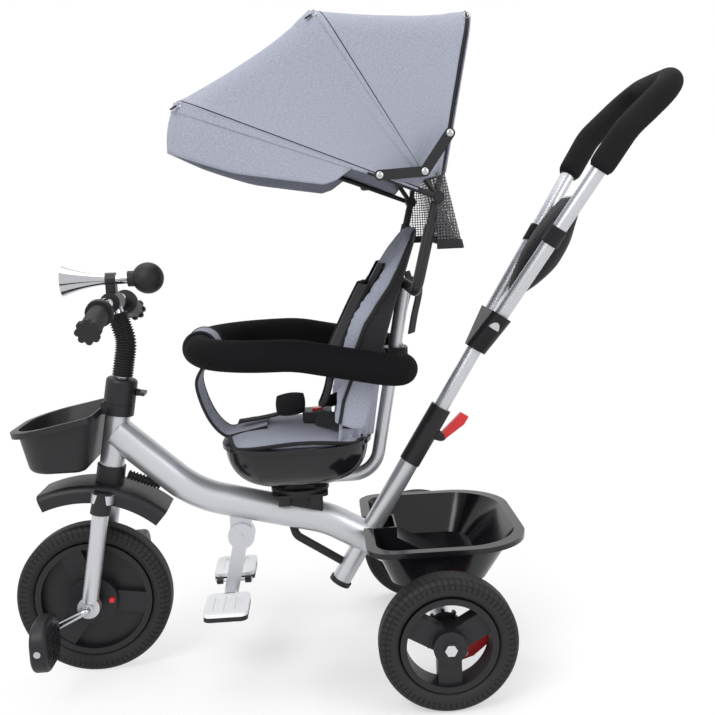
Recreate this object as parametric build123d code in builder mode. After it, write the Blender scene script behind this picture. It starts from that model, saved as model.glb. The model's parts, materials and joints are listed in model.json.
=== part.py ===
from build123d import *
import os
from math import atan2, cos, degrees, hypot, radians, sin, tan

# A children's tricycle with a swivel seat, a folding canopy and a parent's push bar.
# It faces -X, its left side is -Y, and its three wheels stand on Z = 0.
# The origin lies on the floor under the seat, ahead of the rear axle. Sizes are in mm.

# Layout of the wheels
wheelbase = 538.0
rear_axle_x = 109.6
front_tyre_radius = 120.5
rear_tyre_radius = 100.0
front_axle_x = rear_axle_x - wheelbase

# Fits and gaps
running_gap = 0.05
moving_gap = 0.4
soft_gap = 0.5

# Front wheel
front_tyre_width = 45.0
front_bead_radius = 91.0
tyre_shoulder = 13.0
front_rim_width = 37.0
rim_wall = 9.0
front_web = 11.0
front_hub_radius = 38.0
front_hub_width = 48.0
front_spoke_width = 34.0
front_spoke_height = 11.0
front_spoke_start = -8.0
spoke_count = 3
wheel_axle_radius = 5.0
clutch_knob_radius = 5.0
clutch_knob_reach = 30.0
clutch_knob_length = 9.0
knob_taper = 12.0

# Rear wheels
rear_tyre_width = 44.0
rear_bead_radius = 70.0
rear_rim_width = 38.0
rear_hub_radius = 24.0
rear_hub_width = 50.0
rear_spoke_width = 34.0
rear_spoke_depth = 26.0
rear_spoke_start = 30.0
brake_ring_radius = 34.0
brake_tooth_height = 5.0
brake_ring_width = 9.0
brake_tooth_count = 12
pawl_trail = 18.4
pawl_reach = 14.0
pawl_height = 9.5
pawl_half = 2.0

# Fork, steering lean and front mudguard
steer_lean = 11.0
leg_offset = 47.0
leg_radius = 12.5
leg_wall = 2.0
eyelet_radius = 17.0
eyelet_width = 14.0
bush_radius = 8.0
crown_bottom = 168.0
crown_height = 14.0
crown_length = 34.0
steerer_radius = 14.0
steerer_bore = 11.0
head_radius = 19.0
head_bottom = 217.0
head_height = 81.0
fender_radius = 190.0
fender_depth = 34.0
fender_half_width = 44.0
fender_wall = 3.0
fender_start = 48.0
fender_sweep = 63.0
fender_rib_radius = 16.0
fender_rib_taper = 4.0
fender_neck_radius = 22.0

# Front basket, stem sleeve and handlebar
collar_height = 18.0
collar_radius = 24.0
bridge_width = 38.4
basket_rear_reach = 24.0
basket_length = 126.0
basket_half_width = 86.0
basket_slope = 11.0
basket_floor_z = 336.0
basket_floor_back = 20.0
basket_floor_length = 90.0
basket_floor_half = 60.0
basket_floor_corner = 36.0
basket_floor_round = 12.0
basket_corner = 62.0
basket_back_corner = 20.0
basket_wall = 2.5
basket_rim = 9.0
sleeve_height = 39.0
sleeve_radius = 24.0
wing_bolt_radius = 3.0
bolt_taper = 10.0
wing_span = 28.6
stem_insert = 60.0
stem_rise = 58.0
stem_top_x = -366.0
stem_top_z = 588.0
bellows_radius = 16.0
bellows_groove = 2.5
bellows_ribs = 24
bellows_end = 0.9
rib_profile = (0.0, 0.3, 0.5, 0.8)
bar_radius = 9.5
bar_half_length = 166.0
bar_flat_half = 58.0
bar_droop = 27.0
bar_bend = 80.0
grip_radius = 15.0
grip_flange_radius = 20.0
grip_length = 84.0
grip_cap = 4.0
grip_flange_width = 9.0
grip_lobe_count = 8
clamp_radius = 15.0
clamp_width = 40.0
horn_mouth_radius = 23.0
horn_throat_radius = 7.5
horn_length = 84.0
horn_lift = 34.0
horn_front = 72.0
bulb_radius = 24.0
bulb_reach = 30.0
bulb_neck_radius = 12.0
horn_pipe_length = 14.0
bell_wall = 1.5
bell_waist = 0.35
bell_flare = 1.75

# Cranks and pedals
crank_radius = 56.0
crank_angle = 25.0
crank_half_width = 66.0
crank_bend = 6.0
pedal_length = 84.0
pedal_height = 76.0
pedal_thickness = 24.0
pedal_gap = 2.0
pedal_corner = 30.0
pedal_edge = 6.0
pedal_stud = 8.0
pedal_stud_ring = 22.0
pedal_stud_count = 6
pedal_stud_height = 1.5

# Frame
tube_radius = 25.0
tube_wall = 2.0
head_joint = 271.0
front_bend_reach = 168.0
front_bend_z = 278.0
front_bend_radius = 170.0
rear_bend_reach = 163.0
rear_bend_z = 225.4
rear_bend_radius = 150.0
tube_end_reach = 20.0
tube_end_z = 119.0
axle_tube_radius = 14.0
axle_tube_half = 170.0
hub_gap = 12.0
tub_support_half = 70.0
tub_support_width = 30.0
tub_support_plate = 5.0
brake_plate = 5.0
brake_pivot_x = 27.0
brake_pivot_drop = 33.0
brake_pin_radius = 2.5
brake_pin_head = 5.0
brake_lever_width = 8.0
lever_boss = 6.0
lever_edge = 4.0
lever_arm = 42.0
lever_tip = 7.0
lever_lobe = 13.0
nut_radius = 9.0
nut_width = 8.0

# Push bar, its socket and its steering shaft
socket_angle = 58.2
socket_cross_x = 81.5
socket_cross_z = 310.6
socket_radius = 15.5
shaft_radius = 13.5
shaft_bore = 12.0
socket_low = -222.0
push_sleeve_length = 102.0
push_sleeve_radius = 17.0
push_tube_insert = 190.0
push_tube_rise = 107.0
push_tube_wall = 1.5
coupler_length = 66.0
coupler_half_width = 57.0
coupler_thickness = 34.0
upper_angle = 56.6
upper_leg_radius = 11.5
upper_leg_wall = 1.5
upper_leg_half = 40.0
upper_spread = 100.0
upper_leg_length = 325.0
top_angle = 42.0
top_length = 105.0
foam_radius = 19.0
foam_start = 255.0
bend_radius = 90.0
corner_radius = 52.0
release_lever_length = 50.0
release_pin_radius = 3.0
release_reach = 25.0
release_height = 60.0
release_lug = 12.0
release_width = 9.0
release_cheek = 4.0
release_hook = 14.0
bag_start = 35.0
bag_length = 180.0
bag_depth = 56.0
bag_edge_depth = 22.0
bag_foot_half = 24.0
bag_middle_half = 42.0
bag_top_half = 58.0
bag_shift = 6.0
bag_strap_share = 0.6
arm_disc_radius = 18.0
arm_disc_height = 7.0

# Seat, its swivel and its back tube
swivel_x = -95.0
base_z = 274.0
base_plate = 4.0
base_half = 44.0
tab_width = 20.0
tab_drop = 14.0
saddle_half_width = 20.0
saddle_length = 70.4
stud_radius = 8.0
turntable_radius = 46.0
turntable_height = 6.0
seat_rail_half = 9.0
seat_tube_radius = 10.5
seat_tube_bend = 45.0
pan_bottom = 299.0
pan_rim_z = 368.0
pan_half_length = 110.0
pan_half_width = 113.0
pan_foot_half = 64.0
pan_belly_half = 95.0
pan_belly_z = 320.0
pan_wall = 4.0
pan_corner = 78.0
pan_rim_height = 6.0
pan_depth = 16.0
channel_radius = 3.0
back_tube_x = 26.0
back_tube_lean = 10.8
back_tube_top = 585.0
seat_pad_height = 20.0
pad_round = 0.7
back_lean = 17.0
back_bottom = 398.0
back_height = 305.0
back_x = -17.0
back_thickness = 30.0
back_half_width = 116.0
back_top_half = 78.0
back_shoulder = 190.0
back_corner = 34.0
wing_reach = 46.0
wing_taper = 5.0
wing_thickness = 24.0
wing_bottom = 6.0
wing_height = 200.0

# Guard ring and harness
ring_rear_z = 480.5
ring_front_z = 513.0
ring_knee_x = -90.0
ring_knee_bend = 200.0
ring_tube_wall = 1.5
ring_split = 1.0
ring_tube_radius = 9.0
ring_foam_radius = 23.0
ring_half_width = 150.0
ring_front_x = -234.0
ring_rear_x = 66.0
ring_front_bend = 118.0
ring_rear_bend = 40.0
ring_clamp = 36.0
ring_foam_end = 96.0
cuff_half = 31.0
cuff_thickness = 2.0
strap_width = 70.0
strap_thickness = 3.0
strap_bulge = 12.0
shoulder_half = 48.0
shoulder_share = 0.6
web_width = 25.0
web_thickness = 2.0
buckle_length = 46.0
buckle_width = 42.0
buckle_height = 16.0
buckle_x = -62.0
button_length = 16.0
button_width = 14.0
button_travel = 3.0

# Canopy
post_half = 176.0
post_radius = 8.0
post_lean = 14.0
crossbar_z = 597.0
post_height = 92.0
post_bend = 22.0
post_bore_depth = 66.0
upper_post_radius = 6.0
pivot_disc = 9.0
pivot_height = 131.0
canopy_pitch = 10.4
bow_radius = 4.0
rear_bow_angle = 78.5
mid_bow_angle = 122.6
front_bow_angle = 158.6
rear_bow_length = 246.0
mid_bow_length = 292.0
front_bow_length = 364.0
bow_corner = 36.0
cloth = 2.0
rivet_radius = 3.0
link_reach = 84.0
link_length = 60.0
link_width = 14.0
link_thickness = 3.0
link_rivet = 2.5
seam_gap = 0.9
panel_start = 36.0
visor_angle = 12.0
visor_start = 128.0
mesh_depth = 88.0
mesh_fold = 9.0
mesh_fold_count = 9
net_sheet = 1.5
net_band = 12.0
net_fall = -68.0

# Footrest
foot_disc_x = -192.0
foot_disc_z = 207.0
foot_disc_radius = 21.0
foot_lug_width = 33.6
foot_tongue = 16.0
foot_cheek = 5.0
foot_arm_length = 92.0
foot_arm_width = 22.0
foot_arm_tilt = 13.0
foot_bolt_radius = 4.0
plate_inner = 36.0
plate_width = 82.0
plate_length = 66.0
plate_thickness = 6.0
plate_base = 7.0
plate_pin_radius = 3.0
hinge_block = 9.0
knuckle_width = 10.0
slot_share = 0.7

# Rear basket
tub_front = 2.0
tub_rear = 251.0
tub_half_width = 155.0
tub_rim_z = 214.0
tub_floor_z = 148.0
tub_rim_width = 12.0
tub_rim_height = 8.0
tub_wall = 3.0
tub_floor_front = 40.0
tub_floor_rear = 189.0
tub_floor_half = 118.0
tunnel_gap = 5.0
tub_front_corner = 33.0
tub_rear_corner = 88.0
socket_edge = 52.0

# Steering cable hoses
hose_radius = 6.5
front_hose_ribs = 10
front_hose_reach = 50.0
front_hose_gap = 4.5
front_hose_drop = 21.0
rear_hose_x = -112.0
rear_hose_drop = 28.0
rear_hose_rise = 26.0

# The wheels stand clear of the ends of the axle tube.
track_half = axle_tube_half + hub_gap + rear_hub_width / 2

os.makedirs("parts", exist_ok=True)
sides = {"left": -1, "right": 1}
upright = 90.0


def save(piece, name):
    """Label a finished piece and write it as its own file."""
    piece.part.label = name
    export_step(piece.part, f"parts/{name}.step")


def polar(angle, length):
    """The X and Z reach of a length at an angle above the +X direction."""
    return cos(radians(angle)) * length, sin(radians(angle)) * length


def leaning_plane(x, z, angle_from_x):
    """A plane whose Z axis rises at an angle above +X and whose Y axis is the tricycle's."""
    rise = radians(angle_from_x)
    return Plane(origin=(x, 0, z), x_dir=(sin(rise), 0, -cos(rise)), z_dir=(cos(rise), 0, sin(rise)))


def side_plane(x, y, z):
    """An upright plane facing -Y, with its own x along +X and its own y along +Z."""
    return Plane(origin=(x, y, z), x_dir=(1, 0, 0), z_dir=(0, -1, 0))


def bent_path(points, radii):
    """A line through points whose corners are rounded by arcs."""
    with BuildLine() as path:
        start = points[0]
        for before, corner, after, radius in zip(points, points[1:], points[2:], radii):
            toward_start = (before - corner).normalized()
            toward_end = (after - corner).normalized()
            half_angle = radians(toward_start.get_angle(toward_end) / 2)
            reach = radius / tan(half_angle)
            middle = (toward_start + toward_end).normalized() * (radius / sin(half_angle) - radius)
            Line(start, corner + toward_start * reach)
            ThreePointArc(corner + toward_start * reach, corner + middle, corner + toward_end * reach)
            start = corner + toward_end * reach
        Line(start, points[-1])
    return path.line


# The steering axis passes through the front axle. Heights along it start at the axle.
steer = leaning_plane(front_axle_x, front_tyre_radius, upright - steer_lean)
front_axle = Axis((front_axle_x, 0, front_tyre_radius), (0, 1, 0))
rear_axle = Axis((rear_axle_x, 0, rear_tyre_radius), (0, 1, 0))
head_top = head_bottom + head_height
sleeve_bottom = head_top + collar_height + 2 * moving_gap
sleeve_top = sleeve_bottom + sleeve_height

# The main tube runs from the head tube down, along under the seat, and down to the axle.
head_point = steer.from_local_coords((0, 0, head_joint))
front_bend = Vector(front_axle_x + front_bend_reach, 0, front_bend_z)
rear_bend = Vector(rear_axle_x - rear_bend_reach, 0, rear_bend_z)
tube_end = Vector(rear_axle_x + tube_end_reach, 0, tube_end_z)
spine_slope = (rear_bend.Z - front_bend.Z) / (rear_bend.X - front_bend.X)
tail_slope = (tube_end.Z - rear_bend.Z) / (tube_end.X - rear_bend.X)


def spine_z(x):
    """Height of the main tube's middle line where it runs under the seat."""
    return front_bend.Z + spine_slope * (x - front_bend.X)


def tail_z(x):
    """Height of the main tube's middle line where it drops to the rear axle."""
    return rear_bend.Z + tail_slope * (x - rear_bend.X)


spine_half_height = tube_radius * hypot(1, spine_slope)
tail_half_height = tube_radius * hypot(1, tail_slope)

# The push bar's socket axis leans back. Heights along it start at its crossing point.
push = leaning_plane(socket_cross_x, socket_cross_z, socket_angle)
brake_pivot = (rear_axle_x + brake_pivot_x, rear_tyre_radius - brake_pivot_drop)

# Frame: main tube, head tube, push bar socket, axle tube, brake plates and basket supports
with BuildPart() as main_frame:
    with BuildLine() as spine_path:
        FilletPolyline(
            head_point, front_bend, rear_bend, tube_end, radius=[front_bend_radius, rear_bend_radius]
        )
    with BuildSketch(Plane(origin=head_point, z_dir=spine_path.line % 0)):
        Circle(tube_radius)
    sweep(path=spine_path.line)
    with BuildSketch(steer.offset(head_bottom)):
        Circle(head_radius)
    extrude(amount=head_height)
    with BuildSketch(push.offset(socket_low)):
        Circle(socket_radius)
    extrude(amount=-socket_low)
    with BuildSketch(side_plane(rear_axle_x, -axle_tube_half, rear_tyre_radius)):
        Circle(axle_tube_radius)
    extrude(amount=-2 * axle_tube_half)
    for side in sides.values():
        with BuildSketch(Plane.XY.offset(rear_tyre_radius)):
            with Locations((rear_axle_x, side * tub_support_half)):
                Rectangle(tub_support_width, tub_support_plate)
        extrude(amount=tub_floor_z - rear_tyre_radius)
        with BuildSketch(side_plane(0, side * (axle_tube_half - brake_plate / 2), 0)):
            with BuildLine():
                Polyline(
                    (rear_axle_x - axle_tube_radius, rear_tyre_radius),
                    (rear_axle_x + axle_tube_radius, rear_tyre_radius),
                    (brake_pivot[0] + 3 * brake_pin_radius, brake_pivot[1]),
                    (brake_pivot[0], brake_pivot[1] - 3 * brake_pin_radius),
                    close=True,
                )
            make_face()
        extrude(amount=brake_plate / 2, both=True)
    with BuildSketch(side_plane(foot_disc_x, 0, foot_disc_z)):
        Circle(foot_disc_radius)
        with Locations((0, (spine_z(foot_disc_x) - foot_disc_z) / 2)):
            Rectangle(foot_lug_width, spine_z(foot_disc_x) - foot_disc_z)
    extrude(amount=foot_tongue / 2, both=True)
    with BuildSketch(side_plane(foot_disc_x, 0, foot_disc_z)):
        Circle(foot_bolt_radius + running_gap)
    extrude(amount=foot_tongue, both=True, mode=Mode.SUBTRACT)
    with BuildSketch(Plane(origin=head_point, z_dir=spine_path.line % 0)):
        Circle(tube_radius - tube_wall)
    sweep(path=spine_path.line, mode=Mode.SUBTRACT)
    with BuildSketch(steer.offset(head_bottom)):
        Circle(steerer_radius + running_gap)
    extrude(amount=head_height, mode=Mode.SUBTRACT)
    with BuildSketch(push.offset(socket_low)):
        Circle(shaft_radius + running_gap)
    extrude(amount=-socket_low, mode=Mode.SUBTRACT)
    with BuildSketch(side_plane(rear_axle_x, -axle_tube_half, rear_tyre_radius)):
        Circle(wheel_axle_radius)
    extrude(amount=-2 * axle_tube_half, mode=Mode.SUBTRACT)
save(main_frame, "main_frame")

# The space that the main tube and the socket fill, kept clear by everything around them
with BuildPart() as tube_core:
    with BuildSketch(Plane(origin=head_point, z_dir=spine_path.line % 0)):
        Circle(tube_radius)
    sweep(path=spine_path.line)
    with BuildSketch(steer.offset(head_bottom)):
        Circle(head_radius)
    extrude(amount=head_height)
    with BuildSketch(push.offset(socket_low)):
        Circle(socket_radius)
    extrude(amount=-socket_low)

# Rear axle rod with its nuts, and the pins of the brake levers
axle_end = track_half + rear_hub_width / 2 + moving_gap
with BuildPart() as rear_axle_set:
    with BuildSketch(side_plane(rear_axle_x, -axle_end - nut_width, rear_tyre_radius)):
        Circle(wheel_axle_radius)
    extrude(amount=-2 * (axle_end + nut_width))
    for side in sides.values():
        with BuildSketch(side_plane(rear_axle_x, side * (axle_end + nut_width / 2), rear_tyre_radius)):
            RegularPolygon(nut_radius, 6)
        extrude(amount=nut_width / 2, both=True)
        pin_length = brake_lever_width + 2 * moving_gap
        with BuildSketch(side_plane(brake_pivot[0], side * axle_tube_half, brake_pivot[1])):
            Circle(brake_pin_radius)
        extrude(amount=-side * pin_length)
        with BuildSketch(side_plane(brake_pivot[0], side * (axle_tube_half + pin_length), brake_pivot[1])):
            Circle(brake_pin_head)
        extrude(amount=-side * brake_pin_radius)
save(rear_axle_set, "rear_axle")


def make_tyre(axis_x, axis_y, outer_radius, bead_radius, width, name):
    """A soft foam tyre with round shoulders, turned about its axle."""
    with BuildPart() as tyre:
        with BuildSketch(Plane(origin=(axis_x, axis_y, outer_radius))):
            with Locations(((outer_radius + bead_radius) / 2, 0)):
                RectangleRounded(outer_radius - bead_radius, width, tyre_shoulder)
        revolve(axis=Axis((axis_x, axis_y, outer_radius), (0, 1, 0)))
    save(tyre, name)


make_tyre(front_axle_x, 0, front_tyre_radius, front_bead_radius, front_tyre_width, "front_tyre")
for side_name, side in sides.items():
    make_tyre(
        rear_axle_x,
        side * track_half,
        rear_tyre_radius,
        rear_bead_radius,
        rear_tyre_width,
        f"rear_tyre_{side_name}",
    )

# Front rim: a closed disc with three raised spokes on both faces and a clutch pocket
with BuildPart() as front_rim:
    with BuildSketch(Plane(origin=front_axle.position)):
        with Locations((front_bead_radius - rim_wall / 2, 0)):
            Rectangle(rim_wall, front_rim_width)
        with Locations(((front_hub_radius + front_bead_radius) / 2 - rim_wall / 2, 0)):
            Rectangle(front_bead_radius - front_hub_radius - rim_wall / 2, front_web)
        with Locations((front_hub_radius / 2, 0)):
            Rectangle(front_hub_radius, front_hub_width)
    revolve(axis=front_axle)
    with BuildSketch(side_plane(front_axle_x, 0, front_tyre_radius)):
        spoke_middle = (front_bead_radius + front_hub_radius - rim_wall) / 2
        with PolarLocations(spoke_middle, spoke_count, start_angle=front_spoke_start):
            Rectangle(front_bead_radius - front_hub_radius, front_spoke_width)
    extrude(amount=front_web / 2 + front_spoke_height, both=True)
    with BuildSketch(side_plane(front_axle_x, 0, front_tyre_radius)):
        Circle(wheel_axle_radius + running_gap)
    extrude(amount=front_hub_width, both=True, mode=Mode.SUBTRACT)
    with BuildSketch(side_plane(front_axle_x + clutch_knob_reach, -front_hub_width / 2, front_tyre_radius)):
        Circle(clutch_knob_radius + running_gap)
    extrude(amount=-clutch_knob_length, mode=Mode.SUBTRACT)
save(front_rim, "front_rim")

with BuildPart() as clutch_knob:
    with BuildSketch(side_plane(front_axle_x + clutch_knob_reach, -front_hub_width / 2, front_tyre_radius)):
        Circle(clutch_knob_radius)
    extrude(amount=-clutch_knob_length)
    extrude(clutch_knob.faces().sort_by(Axis.Y)[0], amount=clutch_knob_length / 2, taper=knob_taper)
save(clutch_knob, "clutch_knob")

# Rear rims with open spokes and a toothed brake ring on the inner face.
# A gap of the ring faces the brake lever's pawl when the wheel is as drawn.
pawl_angle = degrees(atan2(-brake_pivot_drop, brake_pivot_x)) - pawl_trail
tooth_pitch = 360 / brake_tooth_count
for side_name, side in sides.items():
    wheel_y = side * track_half
    inner_face = side * (track_half - rear_hub_width / 2)
    with BuildPart() as rear_rim:
        with BuildSketch(Plane(origin=(rear_axle_x, wheel_y, rear_tyre_radius))):
            with Locations((rear_bead_radius - rim_wall / 2, 0)):
                Rectangle(rim_wall, rear_rim_width)
            with Locations((rear_hub_radius / 2, 0)):
                Rectangle(rear_hub_radius, rear_hub_width)
        revolve(axis=rear_axle)
        with BuildSketch(side_plane(rear_axle_x, wheel_y, rear_tyre_radius)):
            spoke_reach = rear_bead_radius - rim_wall / 2
            with PolarLocations(spoke_reach / 2, spoke_count, start_angle=rear_spoke_start):
                Rectangle(spoke_reach, rear_spoke_width)
        extrude(amount=rear_spoke_depth / 2, both=True)
        with BuildSketch(side_plane(rear_axle_x, inner_face, rear_tyre_radius)):
            Circle(brake_ring_radius - brake_tooth_height)
            with PolarLocations(brake_ring_radius - brake_tooth_height, brake_tooth_count,
                                start_angle=pawl_angle + tooth_pitch / 2):
                Rectangle(2 * brake_tooth_height, brake_tooth_height)
        extrude(amount=side * brake_ring_width)
        with BuildSketch(side_plane(rear_axle_x, wheel_y, rear_tyre_radius)):
            Circle(wheel_axle_radius + running_gap)
        extrude(amount=rear_hub_width, both=True, mode=Mode.SUBTRACT)
    save(rear_rim, f"rear_rim_{side_name}")

    # Red foot lever on a pin of the brake plate, with a pawl under the ring
    lever_y = side * (axle_tube_half + moving_gap + brake_lever_width / 2)
    pivot_x, pivot_z = brake_pivot
    toward = Vector(-brake_pivot_x, brake_pivot_drop).normalized()
    along = Vector(toward.Y, -toward.X)
    pivot_spot = Vector(pivot_x, pivot_z)
    pawl_root = pivot_spot - along * pawl_reach
    pawl_top = pawl_root + toward * pawl_height
    lever_end = pivot_spot + along * lever_arm
    with BuildPart() as brake_lever:
        with BuildSketch(side_plane(0, lever_y, 0)):
            with Locations((pivot_x, pivot_z)):
                Circle(lever_boss)
            with BuildLine():
                Polyline(
                    pawl_root - along * pawl_half,
                    pawl_top - along * pawl_half,
                    pawl_top + along * pawl_half,
                    pivot_spot - along * lever_edge + toward * lever_edge,
                    pivot_spot + along * 3 * lever_edge + toward * lever_edge,
                    lever_end,
                    lever_end + along * lever_tip - toward * lever_tip,
                    lever_end - along * lever_tip - toward * lever_lobe,
                    pivot_spot + along * lever_tip - toward * lever_lobe,
                    pivot_spot - along * 2 * lever_edge - toward * lever_tip,
                    close=True,
                )
            make_face()
            with Locations((pivot_x, pivot_z)):
                Circle(brake_pin_radius + running_gap, mode=Mode.SUBTRACT)
        extrude(amount=brake_lever_width / 2, both=True)
    save(brake_lever, f"brake_lever_{side_name}")

# Fork: steerer, crown, two legs and the eyelets that hold the axle bushes
with BuildPart() as fork:
    with BuildSketch(steer.offset(crown_bottom)):
        RectangleRounded(crown_length, 2 * (leg_offset + leg_radius), leg_radius)
    extrude(amount=crown_height)
    with BuildSketch(steer.offset(crown_bottom)):
        Circle(steerer_radius)
    extrude(amount=sleeve_bottom - crown_bottom)
    with BuildSketch(steer.offset(eyelet_radius / 2)):
        with GridLocations(1, 2 * leg_offset, 1, 2):
            Circle(leg_radius)
    extrude(amount=crown_bottom - eyelet_radius / 2)
    with BuildSketch(steer.offset(eyelet_radius * 2)):
        with GridLocations(1, 2 * leg_offset, 1, 2):
            Circle(leg_radius - leg_wall)
    extrude(amount=crown_bottom - eyelet_radius * 2, mode=Mode.SUBTRACT)
    for side in sides.values():
        with BuildSketch(side_plane(front_axle_x, side * leg_offset, front_tyre_radius)):
            Circle(eyelet_radius)
        extrude(amount=eyelet_width / 2, both=True)
        with BuildSketch(side_plane(front_axle_x, side * leg_offset, front_tyre_radius)):
            Circle(bush_radius)
        extrude(amount=leg_radius, both=True)
        with BuildSketch(side_plane(front_axle_x, side * leg_offset, front_tyre_radius)):
            Circle(wheel_axle_radius + running_gap)
        extrude(amount=2 * leg_radius, both=True, mode=Mode.SUBTRACT)
    with BuildSketch(steer.offset(sleeve_top - stem_insert - sleeve_height - collar_height)):
        Circle(steerer_bore + running_gap)
    extrude(amount=stem_insert + sleeve_height + collar_height, mode=Mode.SUBTRACT)
save(fork, "fork")

# Front mudguard: an arched channel over the wheel, with a neck and a rib over each leg
fender_plane = Plane(origin=front_axle.position)
with BuildPart() as fender:
    with BuildSketch(fender_plane):
        with Locations((fender_radius - fender_depth / 2, 0)):
            RectangleRounded(fender_depth, 2 * fender_half_width, fender_depth / 3)
        with Locations((fender_radius - fender_depth / 2 - fender_wall, 0)):
            RectangleRounded(
                fender_depth,
                2 * (fender_half_width - fender_wall),
                fender_depth / 3 - fender_wall,
                mode=Mode.SUBTRACT,
            )
        with Locations((fender_radius - fender_depth, 0)):
            Rectangle(fender_depth / 2, 3 * fender_half_width, mode=Mode.SUBTRACT)
    revolve(axis=front_axle, revolution_arc=fender_sweep)
fender_turn = Rotation(0, -fender_start - fender_sweep, 0)
with BuildPart() as front_fender:
    add(Pos(front_axle.position) * fender_turn * (Pos(-front_axle.position) * fender.part))
    with BuildSketch(steer.offset(crown_bottom + crown_height)):
        Circle(fender_neck_radius)
    extrude(amount=head_bottom - moving_gap - crown_bottom - crown_height)
    with BuildSketch(steer.offset(crown_bottom - fender_depth / 2)):
        with GridLocations(1, 2 * leg_offset, 1, 2):
            Circle(fender_rib_radius)
    extrude(amount=crown_height + fender_depth / 2 + fender_wall, taper=fender_rib_taper)
    add(fork.part, mode=Mode.SUBTRACT)
    with BuildSketch(steer.offset(crown_bottom - fender_depth)):
        with GridLocations(1, 2 * leg_offset, 1, 2):
            Circle(leg_radius)
    extrude(amount=crown_height + fender_depth, mode=Mode.SUBTRACT)
    with BuildSketch(steer.offset(crown_bottom)):
        Circle(steerer_radius)
    extrude(amount=head_bottom, mode=Mode.SUBTRACT)
save(front_fender, "front_fender")


def tub_outline(front, rear, half_width, front_radius, rear_radius):
    """A rounded outline that is wider in the corners at one end."""
    with BuildLine() as outline:
        FilletPolyline(
            (front, -half_width),
            (rear, -half_width),
            (rear, half_width),
            (front, half_width),
            radius=[front_radius, rear_radius, rear_radius, front_radius],
            close=True,
        )
    make_face(outline.edges())


# Front basket: a tub with a level floor, a rim that falls to the front, and a collar on the steerer
basket_top = head_top + moving_gap + collar_height / 2
basket_spot = steer.from_local_coords((-basket_rear_reach, 0, basket_top))
rim_plane = leaning_plane(basket_spot.X, basket_spot.Z, upright + basket_slope)
floor_plane = Plane(origin=(basket_spot.X - basket_floor_back, 0, basket_floor_z))
with BuildPart() as front_basket:
    with BuildSketch(floor_plane):
        tub_outline(0, -basket_floor_length, basket_floor_half, basket_back_corner, basket_floor_corner)
    with BuildSketch(rim_plane):
        tub_outline(0, -basket_length, basket_half_width, basket_back_corner, basket_corner)
    loft()
    fillet(front_basket.faces().sort_by(Axis.Z)[0].edges(), basket_floor_round)
    with BuildSketch(rim_plane.offset(-basket_rim)):
        tub_outline(
            0,
            -basket_length - basket_rim,
            basket_half_width + basket_rim / 2,
            basket_back_corner,
            basket_corner,
        )
    extrude(amount=basket_rim)
    with BuildSketch(floor_plane.offset(basket_wall)):
        tub_outline(
            -basket_wall,
            basket_wall - basket_floor_length,
            basket_floor_half - basket_wall,
            basket_back_corner - basket_wall,
            basket_floor_corner - basket_wall,
        )
    with BuildSketch(rim_plane):
        tub_outline(
            -basket_wall,
            basket_wall - basket_length,
            basket_half_width - basket_wall,
            basket_back_corner - basket_wall,
            basket_corner - basket_wall,
        )
    loft(mode=Mode.SUBTRACT)
    with BuildSketch(steer.offset(head_top + moving_gap)):
        Circle(collar_radius)
        with Locations((-basket_rear_reach / 2, 0)):
            Rectangle(basket_rear_reach, bridge_width)
    extrude(amount=collar_height)
    with BuildSketch(steer.offset(head_top + moving_gap)):
        Circle(steerer_radius)
    extrude(amount=collar_height, mode=Mode.SUBTRACT)
save(front_basket, "front_basket")

# Stem sleeve with a wing bolt that clamps the stem at its height
with BuildPart() as stem_sleeve:
    with BuildSketch(steer.offset(sleeve_bottom)):
        Circle(sleeve_radius)
    extrude(amount=sleeve_height)
    fillet(stem_sleeve.faces().sort_by(Axis.Z)[-1].edges(), sleeve_radius / 4)
    with BuildSketch(steer.offset(sleeve_bottom)):
        Circle(steerer_bore + running_gap)
    extrude(amount=sleeve_height, mode=Mode.SUBTRACT)
    bolt_start = steer.from_local_coords((steerer_bore + moving_gap, 0, sleeve_bottom + sleeve_height / 2))
    bolt_plane = Plane(origin=bolt_start, z_dir=steer.x_dir)
    with BuildSketch(bolt_plane):
        Circle(wing_bolt_radius + running_gap)
    extrude(amount=2 * sleeve_radius, mode=Mode.SUBTRACT)
save(stem_sleeve, "stem_sleeve")

bolt_reach = sleeve_radius - steerer_bore
with BuildPart() as wing_bolt:
    with BuildSketch(bolt_plane):
        Circle(wing_bolt_radius)
    extrude(amount=bolt_reach + moving_gap)
    with BuildSketch(bolt_plane.offset(bolt_reach + moving_gap)):
        Circle(2 * wing_bolt_radius)
    extrude(amount=2 * wing_bolt_radius, taper=bolt_taper)
    with BuildSketch(bolt_plane.offset(bolt_reach + 2 * wing_bolt_radius)):
        SlotOverall(wing_span, 2 * wing_bolt_radius, rotation=upright)
    extrude(amount=2.5 * wing_bolt_radius)
save(wing_bolt, "wing_bolt")

# Bent stem tube and the ribbed rubber bellows that covers it
stem_base = steer.from_local_coords((0, 0, sleeve_top - stem_insert))
stem_knee = steer.from_local_coords((0, 0, sleeve_top + stem_rise))
stem_end = Vector(stem_top_x, 0, stem_top_z)
with BuildPart() as stem_tube:
    with BuildLine() as stem_path:
        FilletPolyline(stem_base, stem_knee, stem_end, radius=stem_rise)
    with BuildSketch(Plane(origin=stem_base, z_dir=stem_path.line % 0)):
        Circle(steerer_bore)
    sweep(path=stem_path.line)

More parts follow.
